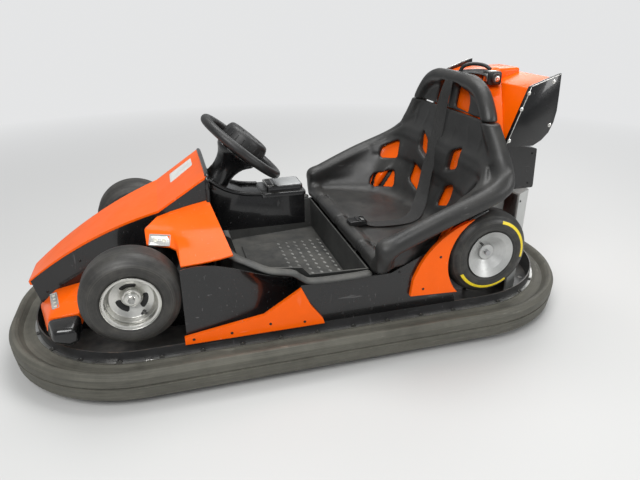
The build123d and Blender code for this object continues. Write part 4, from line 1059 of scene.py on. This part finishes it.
# Round and flattened bars. Columns: name, material, body, radius, steps round it, how flat it is,
# steps between two points, sharp angle, whether it is on both sides, points.
TUBES = [
    ("motor_cable", "cable_rubber", "drive_unit", 5.5, 10, 1.0, 6, 32, False,
     [(-460, 112, 118), (-440, 122, 140), (-430, 112, 175), (-436, 84, 205), (-446, 60, 212)]),
    ("strap_guide", "buckle_plastic", "chassis", 6.0, 12, 1.0, 8, 70, False,
     [(545, -8, 784), (552, -14, 800), (566, -26, 808), (584, -46, 810), (600, -68, 806), (611, -84, 796)]),
    ("tub_rim", "tub_plastic", "chassis", 17.0, 14, 0.45, 6, 70, True,
     [(-300, 196, 347), (-276, 282, 343), (-232, 308, 326), (-180, 332, 307), (-118, 346, 298), (-92, 350, 281),
      (-60, 352, 267), (45, 356, 267), (116, 358, 271)]),
    ("tunnel_edges", "black_paint", "chassis", 8.0, 14, 0.9, 6, 70, True,
     [(-318, 57, 514), (-290, 57, 487), (-250, 57, 462), (-205, 57, 447), (-165, 57, 441), (-140, 57, 439)]),
    ("nose_rear_edge", "black_paint", "chassis", 6.5, 12, 1.0, 6, 70, False,
     [(-319, -162, 420), (-318, -163, 500), (-317, -158, 538), (-316, -120, 544), (-316, 0, 545),
      (-316, 120, 544), (-317, 158, 538), (-318, 163, 500), (-319, 162, 420)]),
]


def tubes():
    for name, material, body, radius, steps, squash, smooth, sharp, both, points in TUBES:
        shape = Shape()
        for side in (-1, 1) if both else (1,):
            shape.tube(smooth_path([mm(x, side * y, z) for x, y, z in points], smooth), radius, steps, squash)
        shape.done(name, material, body, sharp)


def hull_piece(name, solids, material, sharp=35, both=True):
    """Angular panels with rounded edges. Solids: the points (mm) whose hull each one is, and its edge radius.
    They stand as they are, or on both sides of the car."""
    whole = bpy.data.meshes.new(name)
    gathered = bmesh.new()
    for points, radius in solids:
        for side in (1, -1) if both else (1,):
            work = bmesh.new()
            for x, y, z in points:
                work.verts.new((x / 1000, -side * abs(y) / 1000 if both else y / 1000, z / 1000))
            made = bmesh.ops.convex_hull(work, input=work.verts)
            spare = [v for v in made["geom_interior"] if isinstance(v, bmesh.types.BMVert)]
            bmesh.ops.delete(work, geom=spare, context="VERTS")
            bmesh.ops.dissolve_limit(work, angle_limit=math.radians(2), verts=work.verts, edges=work.edges)
            edges = [e for e in work.edges if e.is_manifold and e.calc_face_angle(0) > math.radians(12)]
            bmesh.ops.bevel(work, geom=edges, offset=radius / 1000, segments=4, profile=0.5, affect="EDGES",
                            clamp_overlap=True)
            bmesh.ops.recalc_face_normals(work, faces=work.faces)
            part = bpy.data.meshes.new("part")
            work.to_mesh(part)
            work.free()
            gathered.from_mesh(part)
            bpy.data.meshes.remove(part)
    gathered.to_mesh(whole)
    gathered.free()
    return place_mesh(name, whole, material, sharp=sharp)


def cowl_rows():
    """Bent sheet of a front cowl: rows from front to rear, each round the sheet's edge."""
    # Columns: inner edge, crease, lower edge, each as x, half-width and height.
    stations = [
        ((-463, 152, 436), (-502, 203, 420), (-500, 238, 388)),
        ((-440, 154, 443), (-440, 221, 411), (-440, 254, 380)),
        ((-428, 156, 447), (-427, 225, 410), (-424, 268, 375)),
        ((-417, 157, 450), (-417, 228, 409), (-417, 334, 354)),
        ((-380, 159, 460), (-370, 231, 409), (-366, 336, 358)),
        ((-340, 162, 469), (-322, 232, 408), (-312, 337, 365)),
        ((-318, 164, 474), (-293, 231, 407), (-277, 334, 370)),
    ]
    rows = []
    for inner, crease, lower in stations:
        a, b, c = [Vector(p) for p in (inner, crease, lower)]
        outer = [a, a.lerp(b, 0.5), b.lerp(a, 0.20), b.lerp(a, 0.07)]
        outer += [b.lerp(c, 0.07), b.lerp(c, 0.20), b.lerp(c, 0.6), c]
        under = [p + Vector((0, -2.0, -5.0)) for p in reversed(outer)]
        rows.append([(p.x, -p.y, p.z) for p in outer + under])
    return rows


def cowls():
    """Cowl sheets on both sides, and the lamps on them and on the front wing."""
    shape = Shape()
    for side in (1, -1):
        shape.shell([[mm(x, side * y, z) for x, y, z in row] for row in cowl_rows()])
    piece = shape.done("cowl_sheets", "orange_paint", sharp=24)
    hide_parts("front_cowls")
    lamps, bulbs, frames = Shape(), Shape(), Shape()
    for side in (1, -1):
        lamp = aim((-464, -235 * side, 393.0), (0, -0.66 * side, 0.75), (0.985, -0.14 * side, -0.10))
        lamps.slab(lamp, rounded_box(53, 31, 3), -4.0, 3.6, 1.0)
        frame_strip(frames, lamp, 57, 35, 3.0, 0.0, 5.2)
        for u in (-11, 12):
            bulbs.lathe(lamp @ Matrix.Translation(mm(u, 0, 3.2)), scaled(DOME, 6.6, 1.6), 18)
        wing = aim((-776, -158 * side, 207), (-0.158, 0, 0.987), (0.965, 0.214 * side, 0.155))
        lamps.slab(wing, rounded_box(17, 100, 2.5), -4.0, 3.6, 0.8)
        frame_strip(frames, wing, 20, 103, 2.4, 0.0, 4.8)
        for v in (-36, -12, 12, 36):
            bulbs.lathe(wing @ Matrix.Translation(mm(0, v, 3.4)), scaled(DOME, 4.4, 1.2), 14)
    piece = lamps.done("lamp_lenses", "lamp_lens")
    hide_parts("cowl_lamps")
    frames.done("lamp_frames", "lamp_trim")
    bulbs.done("lamp_bulbs", "lamp_bulb")


def front_wing():
    inner = [(-843, 56, 150), (-786, 56, 206), (-700, 56, 232), (-700, 56, 150), (-770, 56, 136)]
    outer = [(-790, 250, 165), (-779, 250, 208), (-700, 250, 212), (-700, 250, 165), (-760, 250, 158)]
    piece = hull_piece("front_wing_blocks", [(inner + outer, 4.0)], "orange_paint")
    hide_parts("front_wings")
    near = [(-791, 251, 160), (-782, 251, 207), (-697, 251, 212), (-694, 251, 156), (-735, 251, 140)]
    far = [(-766, 322, 170), (-757, 318, 203), (-704, 318, 202), (-698, 322, 160), (-724, 322, 150)]
    piece = hull_piece("front_wing_feet_gloss", [(near + far, 12.0)], "black_paint", sharp=60)
    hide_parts("front_wing_feet")


# The rear wing's front face, as x and z at its lower and upper edge, and its half-width
WING_LOW = (582, 587)
WING_TOP = (645, 757)
SPAN = 247


def rear_wing():
    """The rear cover with its wing, its endplates with bright strips along their edges as painted highlight, and their
    bolts.
    """
    rise = WING_TOP[1] - WING_LOW[1]
    run = WING_TOP[0] - WING_LOW[0]
    slope = math.hypot(rise, run)
    reach = (797 - WING_LOW[1]) * slope / rise
    front = [(566, 30, 786), (566, 58, 772), (566, 150, 612), (566, 150, 588)]
    rear = []
    for half, up in ((52, reach), (74, reach - 12), (232, 22), (236, 2)):
        rear.append((WING_LOW[0] + up * run / slope, half, WING_LOW[1] + up * rise / slope))
    # The cover flares from a narrow front behind the headrest onto the wing's face
    rows = []
    for share in (0.0, 0.3, 0.65, 1.0):
        ring = [tuple(Vector(a).lerp(Vector(b), share)) for a, b in zip(front, rear)]
        rows.append([(x, -y, z) for x, y, z in ring] + [(x, y, z) for x, y, z in reversed(ring)])
    shape = Shape()
    shape.shell([[mm(*p) for p in row] for row in rows])
    shape.done("cover_flare", "orange_paint", sharp=28)
    wing = [(x, s * SPAN, z) for s in (1, -1)
            for x, z in (WING_LOW, WING_TOP, (737, 784), (742, 676), (724, 613), (681, 587))]
    ridge = [(x, s * 60, z) for s in (1, -1) for x, z in ((636, 700), (650, 794), (738, 797), (742, 700))]
    post = [(x, s * 70, z) for s in (1, -1) for x, z in ((552, 428.5), (566, 600), (690, 600), (700, 428.5))]
    piece = hull_piece("wing_body", [(wing, 3.0), (ridge, 9.0), (post, 4.0)], "orange_paint", 40, both=False)
    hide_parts("engine_cover")
    outline = [(577, 586), (608, 674), (640, 764), (690, 782), (740, 799), (744, 740), (746, 690), (741, 654),
               (728, 622), (706, 599), (679, 584), (630, 584)]
    plates, edges = Shape(), Shape()
    for side in (1, -1):
        points = [(x, z * side) for x, z in outline]
        if side < 0:
            points.reverse()
        plates.slab(facing((0, 0), SPAN + 0.5, side), points, 0, 13.0, 3.5)
        # Bright steel strips along each endplate's front and top edge are painted highlight on its gloss edge.
        for radius, spots in ((1.6, ((581, 592), (610, 672), (642, 763))), (1.3, ((644, 765), (690, 781), (736, 796)))):
            edges.tube(smooth_path([mm(x, -side * (SPAN + 13.2), z) for x, z in spots], 6), radius, 8)
    piece = plates.done("wing_endplates_gloss", "black_paint", sharp=40)
    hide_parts("wing_endplates")
    edges.done("endplate_edge_highlights", "bright_steel", sharp=60)
    spots = ((636, 746), (618, 700), (590, 606), (726, 646), (716, 776))
    bolts("endplate_bolts", [((x, -(SPAN + 13.4) * s, z), (0, -s, 0)) for s in (1, -1) for x, z in spots], 4.0,
          "bright_steel")


def steering_forms():
    """The wheel's ribbed boss and the flared shroud under it. Profiles: radius and height along the axis."""
    tilt = math.radians(41)
    axis = Vector((math.sin(tilt), 0, math.cos(tilt)))
    place = aim((-192, 0, 582), axis, (0, 1, 0))
    boss = [(20, -13), (66, -13), (72, -10), (74.5, -5), (75, 2), (74.6, 4), (73.0, 5), (72.6, 12), (71.6, 28),
            (70.6, 34), (67, 41), (62, 44.4), (57, 45.4), (51, 45), (47.5, 43), (45.5, 41.4), (30, 41), (1, 41)]
    piece = turned_piece("steering_boss", "grip_plastic", place, boss, 72, "steering", 34)
    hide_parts("steering_pad")
    shroud = [(24, -20), (60, -20.5), (67, -22), (70, -26), (67, -34), (58, -44), (49, -56), (43, -70), (39, -86),
              (38, -100), (40, -118), (45, -142), (52, -168), (24, -168)]
    piece = turned_piece("steering_shroud", "black_paint", place, shroud, 56, sharp=50)
    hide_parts("steering_column")
    screws = []
    for angle in (30, 150, 270):
        local = place @ mm(*polar((0, 0), 36, angle), 41.2)
        screws.append((tuple(local * 1000), tuple(axis)))
    bolts("steering_boss_screws", screws, 2.8, "screw_black", washer=False)
    ribs = Shape()
    for k in range(20):
        low = place @ mm(*polar((0, 0), 73.2, 18 * k), 7)
        high = place @ mm(*polar((0, 0), 71.6, 18 * k), 30)
        ribs.tube([low, (low + high) / 2, high], 1.7, 6)
    ribs.done("steering_boss_ribs", "grip_plastic", "steering")


def console_forms():
    """The console as a bridge that hangs from the nose over the open floor, with its lid and the card reader."""
    outline = [(-5, 328), (-5, 436), (-150, 438), (-200, 443), (-230, 455), (-262, 474), (-290, 495), (-318.5, 519),
               (-318.5, 345), (-285, 332), (-250, 328)]
    middle = Vector((-160, 395))
    bridge = Shape()
    bridge.shell([[mm(p.x, y, p.y) for p in shrunk(outline, middle, inset)]
                  for y, inset in ((-62, 4.0), (-61, 1.4), (-58, 0.0), (58, 0.0), (61, 1.4), (62, 4.0))])
    piece = bridge.done("console_bridge", "black_paint", sharp=30)
    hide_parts("console_box")
    # Columns: name, material, x, base height, outline, low, high, bevel, sharp angle
    for name, material, x, z, box, low, high, bevel, sharp in (
            ("console_lid", "black_paint", -74, 428, (146, 132, 9), 0, 13.0, 4.0, 40),
            ("card_reader_body", "reader_plastic", -66, 440, (118, 92, 9), 0, 16.5, 2.6, 40),
            ("reader_top_plate", "label_silver", -52, 456.3, (82, 80, 6), -0.2, 0.9, 0.4, 32),
            ("reader_slot_lip", "screw_black", -112, 456.3, (20, 70, 3), -0.2, 1.4, 0.6, 32)):
        shape = Shape()
        shape.slab(aim((x, 0, z), UP), rounded_box(*box), low, high, bevel)
        piece = shape.done(name, material, sharp=sharp)
        if name == "card_reader_body":
            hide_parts("card_reader")
    rim = Shape()
    frame_strip(rim, aim((-112, 0, 457.3), UP), 22, 72, 2.0, -0.6, 1.2)
    rim.done("reader_slot_rim", "bright_steel")


def arc_strip(shape, node, centre, side, start, end, profiles):
    """A thin strip on a wheel's outer face, between two angles. Profiles: radius and lift of its points."""
    rows = []
    for k, profile in enumerate(profiles):
        angle = start + (end - start) * k / (len(profiles) - 1)
        rows.append([along_side(node, polar(centre, radius, angle), side, lift) for radius, lift in profile])
    shape.grid(rows, close_ends=True)


def yellow_arcs():
    """Two plain arcs on the outer wall of each rear tyre."""
    profile = [(103.6, -0.5), (104.0, 0.7), (108.5, 0.9), (112.6, 0.7), (113.0, -0.5)]
    for hand, side in HANDS:
        shape = Shape()
        for start, end in ((-10, 76), (-150, -55)):
            if side < 0:
                start, end = 180 - start, 180 - end
            arc_strip(shape, f"rear_tyre_{hand}", REAR_AXLE, side, start, end, [profile] * 41)
        shape.done(f"rear_tyre_arcs_{hand}", "yellow_mark", f"rear_wheel_{hand}", 60)


def rim_slot_shade_strips():
    """Three dark curved strips on the disc of each front rim: painted shade that stands in for the slots through it."""
    profiles = []
    for share in [0.45] + [1.0] * 15 + [0.45]:
        profiles.append([(36 + offset * share, lift) for offset, lift in
                         ((-7, 0.15), (-6, 0.5), (0, 0.5), (6, 0.5), (7, 0.15))])
    for hand, side in HANDS:
        shape = Shape()
        for start in (66, 186, 306):
            arc_strip(shape, f"front_rim_{hand}", FRONT_AXLE, side, start, start + 68, profiles)
        # Black strips laid on the disc: painted shade in place of open slots.
        shape.done(f"front_rim_slot_shade_{hand}", "screw_black", f"front_wheel_{hand}", 60)


def rear_trim():
    """A black arch round the front of each rear tyre."""
    arch = Shape()
    for side in (1, -1):
        spots = [polar(REAR_AXLE, 150, 100 + 100 * k / 12) for k in range(13)]
        arch.tube([mm(x, -side * 360, z) for x, z in spots], 7.0, 10)
    arch.done("rear_arch_trim", "black_paint", sharp=70)


PALE = (0.78, 0.785, 0.79, 1)


def mix_shader(nt, factor, first, second):
    """Mix two shaders of a node tree by a factor."""
    node = nt.nodes.new("ShaderNodeMixShader")
    for source, socket in zip((factor, first, second), node.inputs):
        nt.links.new(source, socket)
    return node.outputs[0]


def stage_floor():
    """A plain floor. Seen from the camera, its far part turns evenly into the pale background."""
    bpy.ops.mesh.primitive_plane_add(size=60, location=(0, 0, 0))
    floor = bpy.context.object
    floor.name = "floor"
    t = Tree("floor")
    t.fill(t.bsdf, {"Base Color": rgb((0.60, 0.60, 0.59)), "Roughness": 0.6})
    x, y = t.xyz(t.node("NewGeometry", "Position"))[:2]
    share = t.ramp(t.hypot(x, y), 1.3, 4.2)
    plain = t.bsdf.outputs[0]
    faded = mix_shader(t.nt, share, plain, t.node("Emission", 0, {"Color": PALE}))
    t.fill(t.out, {0: mix_shader(t.nt, t.node("LightPath", "Is Camera Ray"), plain, faded)})
    floor.data.materials.append(t.mat)


def area(name, location, target, size, power):
    """A rectangular lamp that points at a target."""
    lamp = bpy.data.lights.new(name, "AREA")
    lamp.shape = "RECTANGLE"
    lamp.size, lamp.size_y = size
    lamp.energy = power
    obj = new_object(name, lamp)
    obj.location = location
    obj.rotation_euler = (Vector(target) - Vector(location)).to_track_quat("-Z", "Y").to_euler()


def lights():
    area("key", (-1.6, -2.6, 3.2), (0, 0, 0.3), (2.2, 1.6), 105)
    area("top", (0.5, 0.6, 3.6), (0.1, 0, 0.3), (3.0, 2.0), 85)
    area("back", (2.6, 2.4, 2.2), (0.2, 0, 0.4), (2.0, 1.6), 30)
    area("side", (2.8, -2.4, 1.6), (0.3, 0, 0.4), (1.4, 1.2), 30)
    world = bpy.data.worlds.new("studio")
    bpy.context.scene.world = world
    world.use_nodes = True
    nt = world.node_tree
    nt.nodes.clear()
    shades = []
    for color, strength in (((0.86, 0.88, 0.90, 1), 0.42), (PALE, 1.0)):
        node = nt.nodes.new("ShaderNodeBackground")
        node.inputs[0].default_value = color
        node.inputs[1].default_value = strength
        shades.append(node.outputs[0])
    ray = nt.nodes.new("ShaderNodeLightPath").outputs["Is Camera Ray"]
    nt.links.new(mix_shader(nt, ray, *shades), nt.nodes.new("ShaderNodeOutputWorld").inputs[0])


def camera():
    """The photograph's camera, with its focal length in pixels of a 640 pixel wide picture."""
    focal, width, sensor = 539.1, 640, 36
    data = bpy.data.cameras.new("camera")
    obj = new_object("camera", data)
    obj.location = (-0.4155, -1.6646, 0.9943)
    obj.rotation_euler = (math.radians(90 - 23.8), math.radians(0.1), math.radians(-16.1))
    data.sensor_width = sensor
    data.lens = focal / width * sensor
    data.clip_start = 0.02
    bpy.context.scene.camera = obj


bpy.context.scene.view_settings.view_transform = "Standard"
for build in (stage_floor, lights, camera, seat_pieces, label_plate, buckle_forms, retractor_forms, tread_bumps,
              ring_fittings, body_screws, wheel_details, belt, tubes, cowls, front_wing, rear_wing, steering_forms,
              console_forms, yellow_arcs, rear_trim, rim_slot_shade_strips):
    build()
